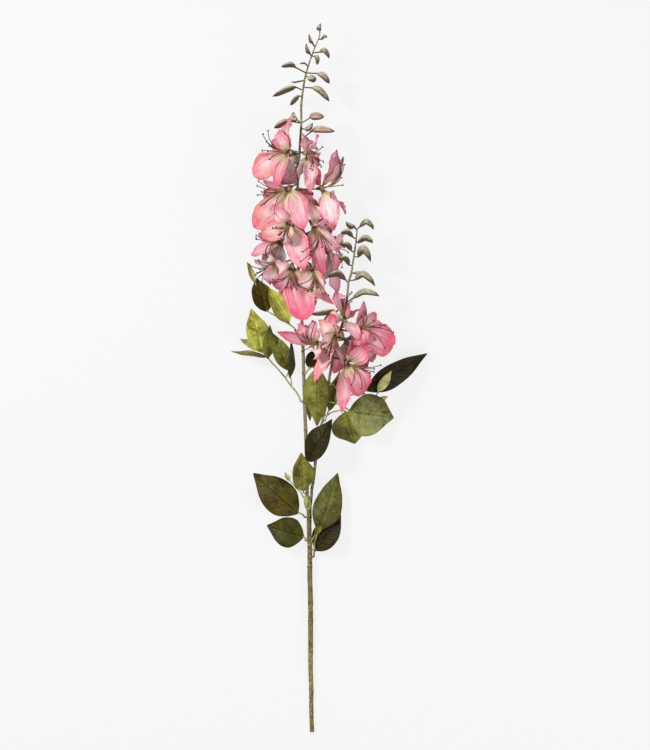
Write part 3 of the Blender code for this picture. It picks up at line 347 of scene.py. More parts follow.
# %% [markdown]
# ## Reading curves
# Petals, leaves and twigs all bend smoothly, while the tables hold only a few places. Two
# small helpers read between the rows: `along` in straight lines, for the plain shapes the
# CAD was made of, and `glide` along a smooth curve, for the finished ones.

# %% Curves through a few points
def along(table, u):
    """Read a small (position, value) table at u, straight lines between rows."""
    for (u0, a), (u1, b) in zip(table, table[1:]):
        if u <= u1:
            return a + (b - a) * (u - u0) / (u1 - u0)
    return table[-1][1]


def glide(table, u):
    """The same, along a smooth curve through the rows."""
    k = 0
    while k < len(table) - 2 and u > table[k + 1][0]:
        k += 1
    (u0, a), (u1, b) = table[k], table[k + 1]
    before, after = table[max(k - 1, 0)], table[min(k + 2, len(table) - 1)]
    t = (u - u0) / (u1 - u0)
    rise_a = (b - before[1]) / (u1 - before[0]) * (u1 - u0)
    rise_b = (after[1] - a) / (after[0] - u0) * (u1 - u0)
    return (a * (2 * t ** 3 - 3 * t ** 2 + 1) + b * (3 * t ** 2 - 2 * t ** 3)
            + rise_a * (t ** 3 - 2 * t ** 2 + t) + rise_b * (t ** 3 - t ** 2))


def quad(p0, p1, p2, u):
    """Point on the curve that leaves p0 towards p1 and arrives at p2."""
    return p0 * (1 - u) ** 2 + p1 * (2 * u * (1 - u)) + p2 * u ** 2


def quad_slope(p0, p1, p2, u):
    """The direction of that curve."""
    return ((p1 - p0) * (1 - u) + (p2 - p1) * u).normalized()


def smooth(rows, per):
    """Catmull-Rom: 'per' steps between neighbouring rows (x, y, z, radius)."""
    pts = [Vector(r) for r in rows]
    pts = [pts[0] * 2 - pts[1]] + pts + [pts[-1] * 2 - pts[-2]]
    out = []
    for a, b, c, d in zip(pts, pts[1:], pts[2:], pts[3:]):
        for k in range(per):
            t = k / per
            out.append(((b * 2) + (c - a) * t + (a * 2 - b * 5 + c * 4 - d) * t ** 2
                        + (b * 3 - a - c * 3 + d) * t ** 3) * 0.5)
    out.append(pts[-2].copy())
    return out


def nearest_on(path, spot):
    """The point of a stem's centre line that lies closest to spot."""
    return min((Vector(r[:3]) for r in path), key=lambda p: (p - spot).length)

# %% [markdown]
# ## Two shapes make the whole stem
# Everything here is either a round rod (stalk, twig, bud, stamen) or a thin blade (petal,
# leaf). A rod starts as a circle whose cap is extruded from place to place. A blade starts as
# a flat grid that is bent by a function and then solidified. Each point also remembers how
# far along and across its piece it lies: the materials paint veins and edges by that.

# %% A rod
MARKS = ("along", "across", "back", "streak", "coarse", "chance")


def marked_mesh():
    """An empty bmesh whose points can carry the marks that the materials read."""
    bm = bmesh.new()
    for mark in MARKS:
        bm.verts.layers.float.new(mark)
    bm.verts.layers.float_color.new("paint")
    return bm


def rod(rows, sides, lobes=0, depth=0.0):
    """A closed rod: a round cap pushed from row to row (x, y, z, radius). With lobes its
    section is fluted instead of round."""
    bm = marked_mesh()
    far = bm.verts.layers.float["along"]
    turn_mark = bm.verts.layers.float["across"]
    spots = [Vector(r[:3]) for r in rows]
    ways = []
    for i in range(len(spots)):
        ways.append((spots[min(i + 1, len(spots) - 1)] - spots[max(i - 1, 0)]).normalized())
    bmesh.ops.create_circle(bm, cap_ends=True, radius=1.0, segments=sides)
    for v in bm.verts:
        angle = math.atan2(v.co.y, v.co.x)
        v[turn_mark] = angle / math.pi
        v.co *= 1.0 + depth * math.cos(lobes * angle)
    turn = ways[0].to_track_quat("Z", "Y")
    here = Matrix.LocRotScale(spots[0], turn, Vector.Fill(3, rows[0][3]))
    bmesh.ops.transform(bm, matrix=here, verts=bm.verts[:])
    bm.faces.ensure_lookup_table()
    cap = bm.faces[0]
    for i in range(1, len(rows)):
        turn = ways[i - 1].rotation_difference(ways[i]) @ turn
        there = Matrix.LocRotScale(spots[i], turn, Vector.Fill(3, rows[i][3]))
        grown = bmesh.ops.extrude_face_region(bm, geom=[cap, *cap.edges, *cap.verts])["geom"]
        cap = next(g for g in grown if isinstance(g, bmesh.types.BMFace))
        ring = [g for g in grown if isinstance(g, bmesh.types.BMVert)]
        bmesh.ops.transform(bm, matrix=there @ here.inverted(), verts=ring)
        for v in ring:
            v[far] = i / (len(rows) - 1)
        here = there
    bmesh.ops.recalc_face_normals(bm, faces=bm.faces[:])
    return bm

# %% A blade
def blade(surface, steps, across, thick, fine=False):
    """A thin closed sheet: a flat grid bent by surface(u, v), then given thickness. u runs
    from foot to tip through 'steps', v from edge to edge, -1 to 1. A fine sheet keeps its
    quads and is thickened by extruding it, which can't throw a spike where it is creased."""
    bm = marked_mesh()
    far, side, back = (bm.verts.layers.float[mark] for mark in MARKS[:3])
    bmesh.ops.create_grid(bm, x_segments=across, y_segments=len(steps) - 1, size=1.0)
    for v in bm.verts:
        row = round((v.co.y + 1) / 2 * (len(steps) - 1))
        v[far], v[side], v[back] = steps[row], v.co.x, 1.0
        v.co = surface(steps[row], v.co.x)
    if not fine:
        bmesh.ops.triangulate(bm, faces=bm.faces[:])
    bm.normal_update()
    outer = set(bm.verts)
    for v, step in [(v, v.normal * (thick / 2)) for v in bm.verts]:
        v.co += step
    if fine:
        grown = bmesh.ops.extrude_face_region(bm, geom=bm.faces[:], use_keep_orig=True)["geom"]
        for v in [g for g in grown if isinstance(g, bmesh.types.BMVert)]:
            v.co -= v.normal * thick
    else:
        bmesh.ops.solidify(bm, geom=bm.faces[:], thickness=thick)
    for v in bm.verts:
        v.co.z = max(v.co.z, 0.0)
        v[back] = 1.0 if v in outer else 0.0
    bmesh.ops.recalc_face_normals(bm, faces=bm.faces[:])
    return bm

# %% [markdown]
# ## How a blade is bent
# A petal leaves the cup along the bloom's axis and curls back; a leaf arches over its midrib.
# Both are a curve for the middle line plus a cross direction at each place of it. Where a
# blade looks narrower than it really is, it is rolled about its midrib until it fits.

# %% Bending
UP = Vector((0, 0, 1))
PETAL_FOOT = 2.6        # how far a petal's foot lies from the throat, forward and outward


def arch(base, tip, way, length):
    """Middle control point of a petal of this length that leaves base along 'way'. The
    rise that gives the length is found by halving."""
    low, high = 0.0, 0.62 * length
    for _ in range(14):
        rise = (low + high) / 2
        mid = base + way * rise + (tip - base) * 0.2
        spots = [quad(base, mid, tip, k / 8) for k in range(9)]
        if sum((b - a).length for a, b in zip(spots, spots[1:])) < length:
            low = rise
        else:
            high = rise
    return base + way * low + (tip - base) * 0.2


def blade_shape(base, mid, tip, width, wide, roll, way, cup, outline, floor, relief=None):
    """The bent surface of a petal or leaf. 'width' is what shows from above, 'wide' the
    real one; outline(u) is its width along its length, and relief(u, v) raises it."""
    level = UP.cross(tip - base)
    if level.length < 0.3 * (tip - base).length:
        level = way.cross(tip - base)
    level.normalize()

    def axes(u, angle):
        slope = quad_slope(base, mid, tip, u)
        flat = (level - slope * level.dot(slope)).normalized()
        spin = Matrix.Rotation(angle, 3, slope)
        return spin @ flat, spin @ slope.cross(flat)

    tilt = math.acos(min(1.0, width / wide))
    if axes(0.5, tilt)[1].dot(way) < axes(0.5, -tilt)[1].dot(way):
        tilt = -tilt
    tilt += math.radians(roll)

    def surface(u, v):
        side, face = axes(u, tilt)
        half = 0.5 * wide * outline(u)
        spot = quad(base, mid, tip, u) + side * (v * half) + face * (cup * half * v * v)
        if relief is not None:
            spot += face * relief(u, v)
        spot.z = max(spot.z, floor)
        return spot
    return surface


def petal_surface(throat, way, tip, width, length, roll, outline, thick, relief=None):
    """A petal leaves the cup along the bloom's axis and curls back to its tip."""
    reach = tip - throat
    out = reach - way * reach.dot(way)
    base = throat + way * PETAL_FOOT + out.normalized() * PETAL_FOOT
    bow = way if way.z < 0 else (way + UP * PETAL_RISE).normalized()
    mid = arch(base, tip, bow, length)
    wide = max(width, PETAL_LEAST)
    return blade_shape(base, mid, tip, width, wide, roll, way, PETAL_CUP, outline, thick / 2, relief)


def leaf_surface(base, tip, width, wide, roll, rise, outline, thick, relief=None):
    """A leaf arches upward along its midrib and is folded a little along it."""
    mid = (base + tip) / 2 + UP * (rise * (tip - base).length * 2)
    return blade_shape(base, mid, tip, width, wide, roll, UP, LEAF_CUP, outline, thick / 2, relief)

# %% [markdown]
# ## Rows of the round pieces
# Every rod is described by its rows, so one function per kind of rod is enough: the short
# stalk of a bloom, its cup, the post of its stamens, a stamen wire and a bud.

# %% Places on a bloom's axis, measured from its throat, and the radius there
CALYX = [(-6.0, 1.4), (-4.0, 2.5), (-1.35, 2.3)]
CUP = [(-1.0, 2.2), (1.5, 3.2), (5.0, 3.0)]
POST = [(5.35, 1.4), (9.0, 1.3), (12.0, 0.6)]
PEDICEL_REACH, PEDICEL_BEND, PEDICEL_END, PEDICEL_RADIUS = 13.0, 10.0, 6.0, 1.3
WIRE_FOOT = 8.0


def axis_rows(throat, way, table):
    """The rows of a piece that is turned about the bloom's axis."""
    return [(*(throat + way * place), radius) for place, radius in table]


def pedicel_rows(path, throat, way):
    """A bloom's short stalk, from the stem's centre line up to the green calyx."""
    start = nearest_on(path, throat - way * PEDICEL_REACH)
    end = throat - way * PEDICEL_END
    mid = throat - way * PEDICEL_BEND
    rows = [(*quad(start, mid, end, u), PEDICEL_RADIUS) for u in (0.0, 0.5)]
    return rows + axis_rows(throat, way, CALYX)

# %% Stamen wires and buds
def filament_curve(throat, way, tip):
    """The three points that steer a stamen wire."""
    start = throat + way * WIRE_FOOT
    mid = throat + way * (WIRE_FOOT + 0.55 * (tip - start).length) + (tip - start) * 0.1
    return start, mid, tip


def filament_rows(throat, way, tip):
    """A thin stamen with a thicker anther at its end."""
    curve = filament_curve(throat, way, tip)
    rows = [(*quad(*curve, u), r) for u, r in ((0.0, 0.5), (0.4, 0.5), (0.86, 0.5), (0.91, 1.0))]
    return rows + [(*tip, 0.55)]


def bud_rows(foot, neck, peak, tip, fat):
    """A claw-shaped bud on its thin stalk."""
    foot, neck, peak, tip = Vector(foot), Vector(neck), Vector(peak), Vector(tip)
    bend = (peak - (neck + tip) / 2) * 0.12
    return [(*foot, 0.9), (*neck, 1.2), (*(neck * 0.7 + peak * 0.3), fat * 0.85),
            (*(neck * 0.2 + peak * 0.8 + bend), fat), (*(peak * 0.45 + tip * 0.55 + bend), fat * 0.66),
            (*tip, 0.35)]

# %% [markdown]
# ## Finding room for every petal
# On the real stem the petals push each other aside. In the CAD model each one was tried where
# the table wants it, then bent a little further and further away until it was free. The
# same search runs here on the same plain shapes, so that every finished petal lies where
# its solid does. A bounding-volume tree (BVH) per piece tells quickly if two surfaces cross.

# %% How coarse the plain shapes are, and the space that is taken
PETAL_STEPS = [0.0, 0.27, 0.56, 0.83, 1.0]
LEAF_STEPS = [0.0, 0.1, 0.27, 0.47, 0.74, 1.0]
STALK_SIDES, SPIKE_SIDES, BUD_SIDES, CUP_SIDES, TWIG_SIDES, STAMEN_SIDES = 8, 7, 5, 6, 4, 3

taken = {}


def tree_of(bm):
    """The surface of a mesh as a BVH tree. The mesh is used up."""
    surface = BVHTree.FromBMesh(bm)
    bm.free()
    return surface


def box_of(bm):
    low = Vector([min(v.co[i] for v in bm.verts) for i in range(3)])
    high = Vector([max(v.co[i] for v in bm.verts) for i in range(3)])
    return low, high


def take(key, bm):
    """Note the space that a piece fills. A key is (node, number of the piece in it)."""
    box = box_of(bm)
    taken[key] = (tree_of(bm), *box)


def is_free(node, bm, top=1000.0):
    """Whether a trial piece stays below 'top' and touches nothing of another node.
    The trial piece is used up."""
    low, high = box_of(bm)
    surface = tree_of(bm)
    if high.z > top:
        return False
    for (other, _), (there, other_low, other_high) in taken.items():
        if other == node:
            continue
        if any(low[i] > other_high[i] or high[i] < other_low[i] for i in range(3)):
            continue
        if surface.overlap(there):
            return False
    return True


def folds_into_itself(bm):
    """Whether a sheet is curled so tightly that it cuts itself. It is used up."""
    bm.faces.ensure_lookup_table()
    bm.verts.index_update()
    corners = [{v.index for v in face.verts} for face in bm.faces]
    surface = tree_of(bm)
    return any(not corners[a] & corners[b] for a, b in surface.overlap(surface))

# %% The ways to bend a piece aside
def fattened(rows):
    """The same rod with the clearance around it."""
    return [(*row[:3], row[3] * 1.03 + GAP) for row in rows]


def ways_out(lifts, shifts, shares, rolls=(0,)):
    """All ways to bend a piece aside, the least change first: how far its tip goes up,
    how far sideways, how much of its reach is left, and how far it is rolled."""
    ways = itertools.product(lifts, shifts, shares, rolls)
    return sorted(ways, key=lambda w: abs(w[0]) / 4 + abs(w[1]) / 3 + (1 - w[2]) * 22 + abs(w[3]) / 14)


def bent_tip(foot, tip, lift, shift, share, least):
    """Where a tip ends up after one such bend."""
    reach = tip - foot
    side = Vector((-reach.y, reach.x, 0.0))
    side = side.normalized() if side.length > 1.0 else Vector((1.0, 0.0, 0.0))
    there = foot + reach * share + side * shift + Vector((0.0, 0.0, lift))
    there.z = max(there.z, least)
    return there


PETAL_WAYS = ways_out((0, 3, -3, 6, -6, 10, -10, 15, -15, 20), (0, 4, -4, 8, -8),
                      (1, 0.9, 0.8, 0.68, 0.55), (0, 20, -20, 40, -40))
LEAF_WAYS = ways_out((0, 3, -3, 6, -6, 10, -10, 15, -15), (0, 4, -4, 8, -8),
                     (1, 0.93, 0.85, 0.75), (0, 15, -15, 30, -30))
STAMEN_WAYS = ways_out((0, 4, 8, 12, -4, 17, -8, 24, -13, 30), (0, 4, -4, 9, -9, 15, -15),
                       (1, 0.85, 0.7, 0.5))
TWIG_WAYS = ways_out((0, 2, -2, 4, -4, 7, -7, 10, -10), (0, 2, -2, 3, -3, 5), (1,))

# %% [markdown]
# A petal must also clear the other petals of its own bloom, except at the foot, where they
# all grow out of the cup. So its outer part is tried against those of its siblings.

# %% Settle one petal
def plain_petal(throat, way, petal, across, steps, thick):
    surface = petal_surface(throat, way, *petal, lambda u: along(PETAL_OUTLINE, u), thick)
    return blade(surface, steps, across, thick)


def settle_petal(key, throat, way, wish, across, siblings):
    """Bend one petal clear of everything, its own bloom's other petals included."""
    aim = Vector(wish[:3])
    length = min(PETAL_LENGTH, max(PETAL_SHORTEST, PETAL_SLACK * (aim - throat).length))
    for lift, shift, share, roll in PETAL_WAYS:
        tip = bent_tip(throat, aim, lift, shift, share, 0.5)
        petal = (tip, wish[3] * min(1.0, share / PETAL_NARROWS), length * share, roll)
        look = (throat, way, petal, across)
        if not is_free(key[0], plain_petal(*look, PETAL_STEPS, PETAL_THICK + 2 * GAP), PETAL_TOP):
            continue
        if folds_into_itself(plain_petal(*look, PETAL_STEPS, PETAL_THICK)):
            continue
        outer = tree_of(plain_petal(*look, PETAL_STEPS[1:], PETAL_THICK + GAP))
        if any(outer.overlap(sibling) for sibling in siblings):
            continue
        siblings.append(tree_of(plain_petal(*look, PETAL_STEPS[1:], PETAL_THICK)))
        take(key, plain_petal(*look, PETAL_STEPS, PETAL_THICK))
        return petal
    return None

# %% Settle one stamen
def settle_stamen(key, throat, way, wish):
    """Bend one wire clear of everything; None if it would get too short."""
    for lift, shift, share, _ in STAMEN_WAYS:
        tip = bent_tip(throat, Vector(wish), lift, shift, share, 1.0)
        if (tip - throat).length < STAMEN_SHORTEST:
            continue
        rows = filament_rows(throat, way, tip)
        if is_free(key[0], rod(fattened(rows), STAMEN_SIDES), STAMEN_TOP):
            take(key, rod(rows, STAMEN_SIDES))
            return tip
    return None

# %% [markdown]
# The first twig of a spray starts on the skin of its host stem. If it has to be bent clear,
# the rest of the spray moves with it, so that twigs and leaves stay together.

# %% Settle one spray: first its twigs, then its leaves
def settle_twigs(name, spray, skin):
    """The rows of a spray's twigs, and how far they were moved."""
    main, *twigs = spray.stalks
    second = Vector(main[1][:3])
    foot, out, _, _ = skin.find_nearest(Vector(main[0][:3]))
    toward = (second - foot).normalized()
    for lift, shift, _, _ in TWIG_WAYS:
        move = Vector((shift, shift, lift))
        rows = [(*(foot + out * GAP), main[0][3]), (*(foot + out * 2.6 + toward * 0.6), main[0][3])]
        for k, row in enumerate(main[1:]):
            spot = Vector(row[:3]) + move * min(1.0, (k + 1) / 2)
            rows.append((spot.x, spot.y, max(spot.z, row[3]), row[3]))
        trial = fattened(rows)
        trial[0] = rows[0]
        if is_free(name, rod(trial, TWIG_SIDES)):
            break
    settled = [rows] + [[(*(Vector(r[:3]) + move), r[3]) for r in twig] for twig in twigs]
    for number, rows in enumerate(settled):
        take((name, f"twig {number}"), rod(rows, TWIG_SIDES))
    return settled, move


def plain_leaf(leaf, thick):
    surface = leaf_surface(*leaf, lambda u: along(LEAF_OUTLINE, u), thick)
    return blade(surface, LEAF_STEPS, 2, thick)


def settle_leaves(name, spray, move):
    settled = []
    for number, (base, aim, width, wide, rise, dye) in enumerate(spray.leaves):
        base = Vector(base) + move
        for lift, shift, share, roll in LEAF_WAYS:
            tip = bent_tip(base, Vector(aim), lift, shift, share, 0.5)
            leaf = (base, tip, width, wide, roll, rise)
            if is_free(name, plain_leaf(leaf, LEAF_THICK + 2 * GAP)):
                take((name, number), plain_leaf(leaf, LEAF_THICK))
                settled.append((leaf, dye))
                break
    return settled

# %% [markdown]
# The order matters as much as the shapes: stems and buds first, then every cup, then the
# petals in view from the top down, the hidden ones, and the blooms that face the surface.
# Leaves and stamens take what room is left.

# %% Settle the stems, the buds and the cups
looks = {name: (Vector(b.throat), Vector(b.facing).normalized()) for name, b in BLOOMS.items()}
skins = {}
buds = {"main_spike": [], "side_spike": []}
pedicels = {"main_spike": [], "side_spike": []}
stem = rod(LOWER_STALK, STALK_SIDES)
skins["lower_stalk"] = BVHTree.FromBMesh(stem)
take(("lower_stalk", 0), stem)
for spike, path, table, key in (("main_spike", MAIN_SPIKE, MAIN_BUDS, "main_"),
                                ("side_spike", SIDE_SPIKE, SIDE_BUDS, "side_")):
    centre = smooth(path, 6)
    stem = rod(path, SPIKE_SIDES)
    skins[spike] = BVHTree.FromBMesh(stem)
    take((spike, "stem"), stem)
    for foot, *bud in table:
        buds[spike].append(bud_rows(nearest_on(centre, Vector(foot)), *bud))
    for name, look in looks.items():
        if name.startswith(key):
            pedicels[spike].append(pedicel_rows(centre, *look))
    for number, rows in enumerate(buds[spike] + pedicels[spike]):
        take((spike, number), rod(rows, BUD_SIDES))

for name, look in looks.items():
    take(("petals_" + name, "cup"), rod(axis_rows(*look, CUP), CUP_SIDES))
    if BLOOMS[name].stamens:
        take(("stamens_" + name, "post"), rod(axis_rows(*look, POST), TWIG_SIDES))
print("pieces settled", len(taken))

# %% Settle the petals, the leaves and the stamens
queue = []
for name, bloom in BLOOMS.items():
    for number, wish in enumerate(bloom.petals):
        turn = 2 if not bloom.stamens else int(number > 2)
        queue.append((turn, -wish[2], name, number, wish))
queue.sort(key=lambda job: job[:2])
siblings = {name: [] for name in BLOOMS}
petals = {name: {} for name in BLOOMS}
for _, _, name, number, wish in queue:
    across = 2 if BLOOMS[name].stamens else 1
    petal = settle_petal(("petals_" + name, number), *looks[name], wish, across, siblings[name])
    if petal is not None:
        petals[name][number] = petal

sprays = {}
for name, spray in SPRAYS.items():
    twigs, move = settle_twigs(name, spray, skins[spray.host])
    sprays[name] = twigs, settle_leaves(name, spray, move)

stamens = {}
for name, bloom in BLOOMS.items():
    tips = [settle_stamen(("stamens_" + name, k), *looks[name], wish)
            for k, wish in enumerate(bloom.stamens)]
    stamens[name] = [tip for tip in tips if tip is not None]
print("petals", sum(len(found) for found in petals.values()), "leaves",
      sum(len(leaves) for _, leaves in sprays.values()), "stamens", sum(map(len, stamens.values())))

# %% [markdown]
# ## Building with materials in mind
# A material is a small graph of nodes. The helpers below keep those graphs readable: one adds
# a node and plugs its inputs, and the others are the few sums that every finish here uses.
# Colours are written as a paint chart would, 0 to 255, and turned into the linear values
# that Blender mixes.

# %% Shader helpers
def paint(red, green, blue):
    """A colour chart's numbers as the linear colour that the shaders use."""
    def linear(part):
        share = part / 255
        return share / 12.92 if share <= 0.04045 else ((share + 0.055) / 1.055) ** 2.4
    return (linear(red), linear(green), linear(blue), 1.0)


def add_node(tree, kind, inputs, **settings):
    """Add one node; an input is either a value or another node's output."""
    made = tree.nodes.new(kind)
    for key, value in settings.items():
        setattr(made, key, value)
    for key, value in inputs.items():
        if isinstance(value, bpy.types.NodeSocket):
            tree.links.new(value, made.inputs[key])
        else:
            made.inputs[key].default_value = value
    return made


def calc(tree, operation, a, b=0.0):
    return add_node(tree, "ShaderNodeMath", {0: a, 1: b}, operation=operation).outputs[0]


def plus(tree, a, b):
    return calc(tree, "ADD", a, b)


def product(tree, a, b):
    return calc(tree, "MULTIPLY", a, b)


def ease(tree, value, low, high, top=1.0):
    """0 below 'low', 'top' above 'high', and a soft step between them."""
    return add_node(tree, "ShaderNodeMapRange", {0: value, 1: low, 2: high, 3: 0.0, 4: top},
                    interpolation_type="SMOOTHSTEP").outputs[0]


def blend(tree, share, a, b, way="MIX"):
    return add_node(tree, "ShaderNodeMix", {0: share, 6: a, 7: b},
                    data_type="RGBA", blend_type=way).outputs[2]


def coats(tree, colour, *layers):
    """Lay coats over a colour, one after another. Each is (value, low, high, top, colour):
    it starts where the value is 'low' and covers the share 'top' from 'high' on."""
    for value, low, high, top, over in layers:
        colour = blend(tree, ease(tree, value, low, high, top), colour, over)
    return colour

# %% What the patterns read, and the bump that goes with them
def mark(tree, name, output="Fac"):
    return add_node(tree, "ShaderNodeAttribute", {}, attribute_name=name).outputs[output]


def in_mm(tree, stretch=(1.0, 1.0, 1.0)):
    """Object coordinates in millimetres, stretched where a grain runs lengthwise."""
    coordinates = add_node(tree, "ShaderNodeTexCoord", {})
    inputs = {"Vector": coordinates.outputs["Object"], "Scale": [1 / (MM * s) for s in stretch]}
    return add_node(tree, "ShaderNodeMapping", inputs).outputs[0]


def cloud(tree, spot, size, detail=3.0, roughness=0.55):
    """Soft noise whose blotches are about 'size' mm across."""
    return add_node(tree, "ShaderNodeTexNoise", {"Vector": spot, "Scale": 1 / size, "Detail": detail,
                                                 "Roughness": roughness}).outputs["Fac"]


def relief(tree, shader, height, depth):
    """Bump: 'height' from 0 to 1 stands for 'depth' mm."""
    bump = add_node(tree, "ShaderNodeBump", {"Height": height, "Distance": depth * MM, "Strength": 1.0})
    tree.links.new(bump.outputs[0], shader.inputs["Normal"])


def new_material(name, finish):
    """A material with its shader's even values set; returns it, its tree and its shader."""
    made = bpy.data.materials.new(name)
    made.use_nodes = True
    tree = made.node_tree
    shader = tree.nodes["Principled BSDF"]
    for socket, value in finish.items():
        shader.inputs[socket].default_value = value
    return made, tree, shader

# %% [markdown]
# ## Petal cloth
# The petals are thin woven polyester, printed on one side. The print imitates a real petal:
# a tan throat with brown guide lines, a pale heart with soft white streaks, uneven
# lengthwise veins and a deeper rose rim. The back is paler. The marks on the mesh say where
# on the petal a point lies, so the print follows each petal however it is bent.
#
# Nothing in it is regular. The streaks and veins are noise drawn out along the petal, in
# three widths, and the shade over it is noise too, so no two petals look the same.

# %% Petal prints: main colour, how strong the pale heart is, how strong the veins are
PRINTS = {
    "rose": (paint(224, 108, 134), 0.62, 0.85),
    "pink": (paint(240, 148, 166), 0.95, 0.70),
    "pale": (paint(244, 178, 192), 1.0, 0.90),
    "mauve": (paint(220, 138, 156), 0.70, 0.65),
    "salmon": (paint(226, 144, 142), 0.75, 0.65),
    "cream": (paint(238, 188, 172), 0.80, 0.55),
    "grey": (paint(226, 224, 224), 0.70, 0.16),
}
HEART_WHITE = paint(244, 226, 226)
THROAT_TAN = paint(224, 204, 156)
THROAT_BROWN = paint(92, 60, 36)
CUP_BROWN = paint(76, 52, 34)
EDGE_ROSE = paint(224, 72, 108)
VEIN_ROSE = paint(190, 60, 96)
SHADE_ROSE = paint(200, 132, 132)
BACK_PINK = paint(244, 206, 206)


def petal_cloth():
    made, tree, shader = new_material("petal_cloth", {
        "Roughness": 0.55, "Specular IOR Level": 0.3, "Sheen Weight": 0.10, "Sheen Roughness": 0.45,
        "Subsurface Weight": 0.2, "Subsurface Scale": 0.002})
    far, across = mark(tree, "along"), mark(tree, "across")
    pale, strong, chance = mark(tree, "streak"), mark(tree, "coarse"), mark(tree, "chance")
    spot = in_mm(tree)
    patch, blot = cloud(tree, spot, 12.0), cloud(tree, spot, 5.0)
    off_middle = calc(tree, "ABSOLUTE", across)

    # Veins: noise in the petal's own lengthwise and crosswise marks, stretched lengthwise.
    flat = add_node(tree, "ShaderNodeCombineXYZ", {0: across, 1: far, 2: chance}).outputs[0]
    broad, fine, hair = (add_node(tree, "ShaderNodeTexNoise", {
        "Vector": add_node(tree, "ShaderNodeMapping", {"Vector": flat, "Scale": (many, run, 37.0)}).outputs[0],
        "Scale": 1.0, "Detail": 2.0, "Roughness": 0.5, "Distortion": 0.2}).outputs["Fac"]
        for many, run in ((3.0, 0.45), (9.0, 1.1), (22.0, 2.0)))

    # White streaks, strongest along the middle, that end before the tip.
    own, shaded = mark(tree, "paint", "Color"), ease(tree, patch, 0.42, 0.66, 0.42)
    colour = blend(tree, shaded, own, SHADE_ROSE, "MULTIPLY")
    white = plus(tree, ease(tree, off_middle, 0.8, 0.1, 0.35), ease(tree, broad, 0.46, 0.64, 0.45))
    white = product(tree, plus(tree, white, ease(tree, fine, 0.52, 0.40, 0.35)), pale)
    white = product(tree, white, ease(tree, far, 1.05, 0.62))
    colour = blend(tree, calc(tree, "MINIMUM", white, 0.94), colour, HEART_WHITE)

    line = calc(tree, "MAXIMUM", ease(tree, fine, 0.54, 0.66), ease(tree, hair, 0.56, 0.70, 0.75))
    vein = product(tree, product(tree, line, ease(tree, patch, 0.34, 0.54)), strong)
    colour = blend(tree, product(tree, vein, 0.6), colour, VEIN_ROSE)

    # The rim and the tip took more dye; the foot is tan with brown lines that run out of it.
    rim = plus(tree, off_middle, product(tree, blot, 0.5))
    end = plus(tree, far, product(tree, patch, 0.5))
    depth = plus(tree, far, product(tree, calc(tree, "SUBTRACT", fine, 0.5), 0.6))
    colour = coats(tree, colour, (rim, 1.06, 1.30, 0.6, EDGE_ROSE), (end, 1.02, 1.28, 0.55, EDGE_ROSE),
                   (depth, 0.50, 0.24, 0.85, THROAT_TAN))
    guide = product(tree, ease(tree, hair, 0.50, 0.62), ease(tree, depth, 0.60, 0.26, 0.8))
    colour = blend(tree, guide, colour, THROAT_BROWN)
    colour = coats(tree, colour, (far, 0.24, 0.10, 0.95, THROAT_BROWN))
    colour = blend(tree, product(tree, mark(tree, "back"), 0.25), colour, BACK_PINK)
    tree.links.new(colour, shader.inputs["Base Color"])

    weave = cloud(tree, spot, 0.5, detail=1.0)
    height = plus(tree, fine, product(tree, weave, 0.12))
    relief(tree, shader, plus(tree, height, product(tree, blot, 0.7)), 0.6)
    return made

# %% [markdown]
# ## Leaf cloth
# The leaves are heavier cloth, dyed unevenly: dark olive with brown or grey-green clouds, and
# a few lime ones. Midrib and side veins are pressed in; each groove gets a line of painted shade
# and a painted highlight beside it. One material serves all leaves, because each carries its dye.
# A darker or paler coat is that dye multiplied; the same coats give the dye clouds, the painted
# shade and the painted light, along the veins and across the fold.

# %% Leaf dyes and leaf cloth
DYES = {
    "black": paint(44, 37, 4),
    "brown": paint(74, 65, 8),
    "dark": paint(64, 61, 13),
    "green": paint(93, 93, 43),
    "grey": paint(128, 126, 76),
    "olive": paint(118, 116, 46),
    "moss": paint(121, 121, 51),
    "lime": paint(184, 188, 84),
    "pale": paint(208, 204, 140),
}
# The darker and the paler multiplier of a leaf's dye, used for dye clouds and also for painted shade and
# painted light.
DARK_DYE_AND_SHADE = (0.34, 0.28, 0.14, 1.0)
PALE_DYE_AND_LIGHT = (1.75, 1.8, 1.7, 1.0)
SIDE_VEINS = 7.0        # side veins from foot to tip
VEIN_SLANT = 7.0        # how far they slant towards the tip; the print and the relief share it
VEIN_WANDER = 7.0       # how far a printed one strays from its line


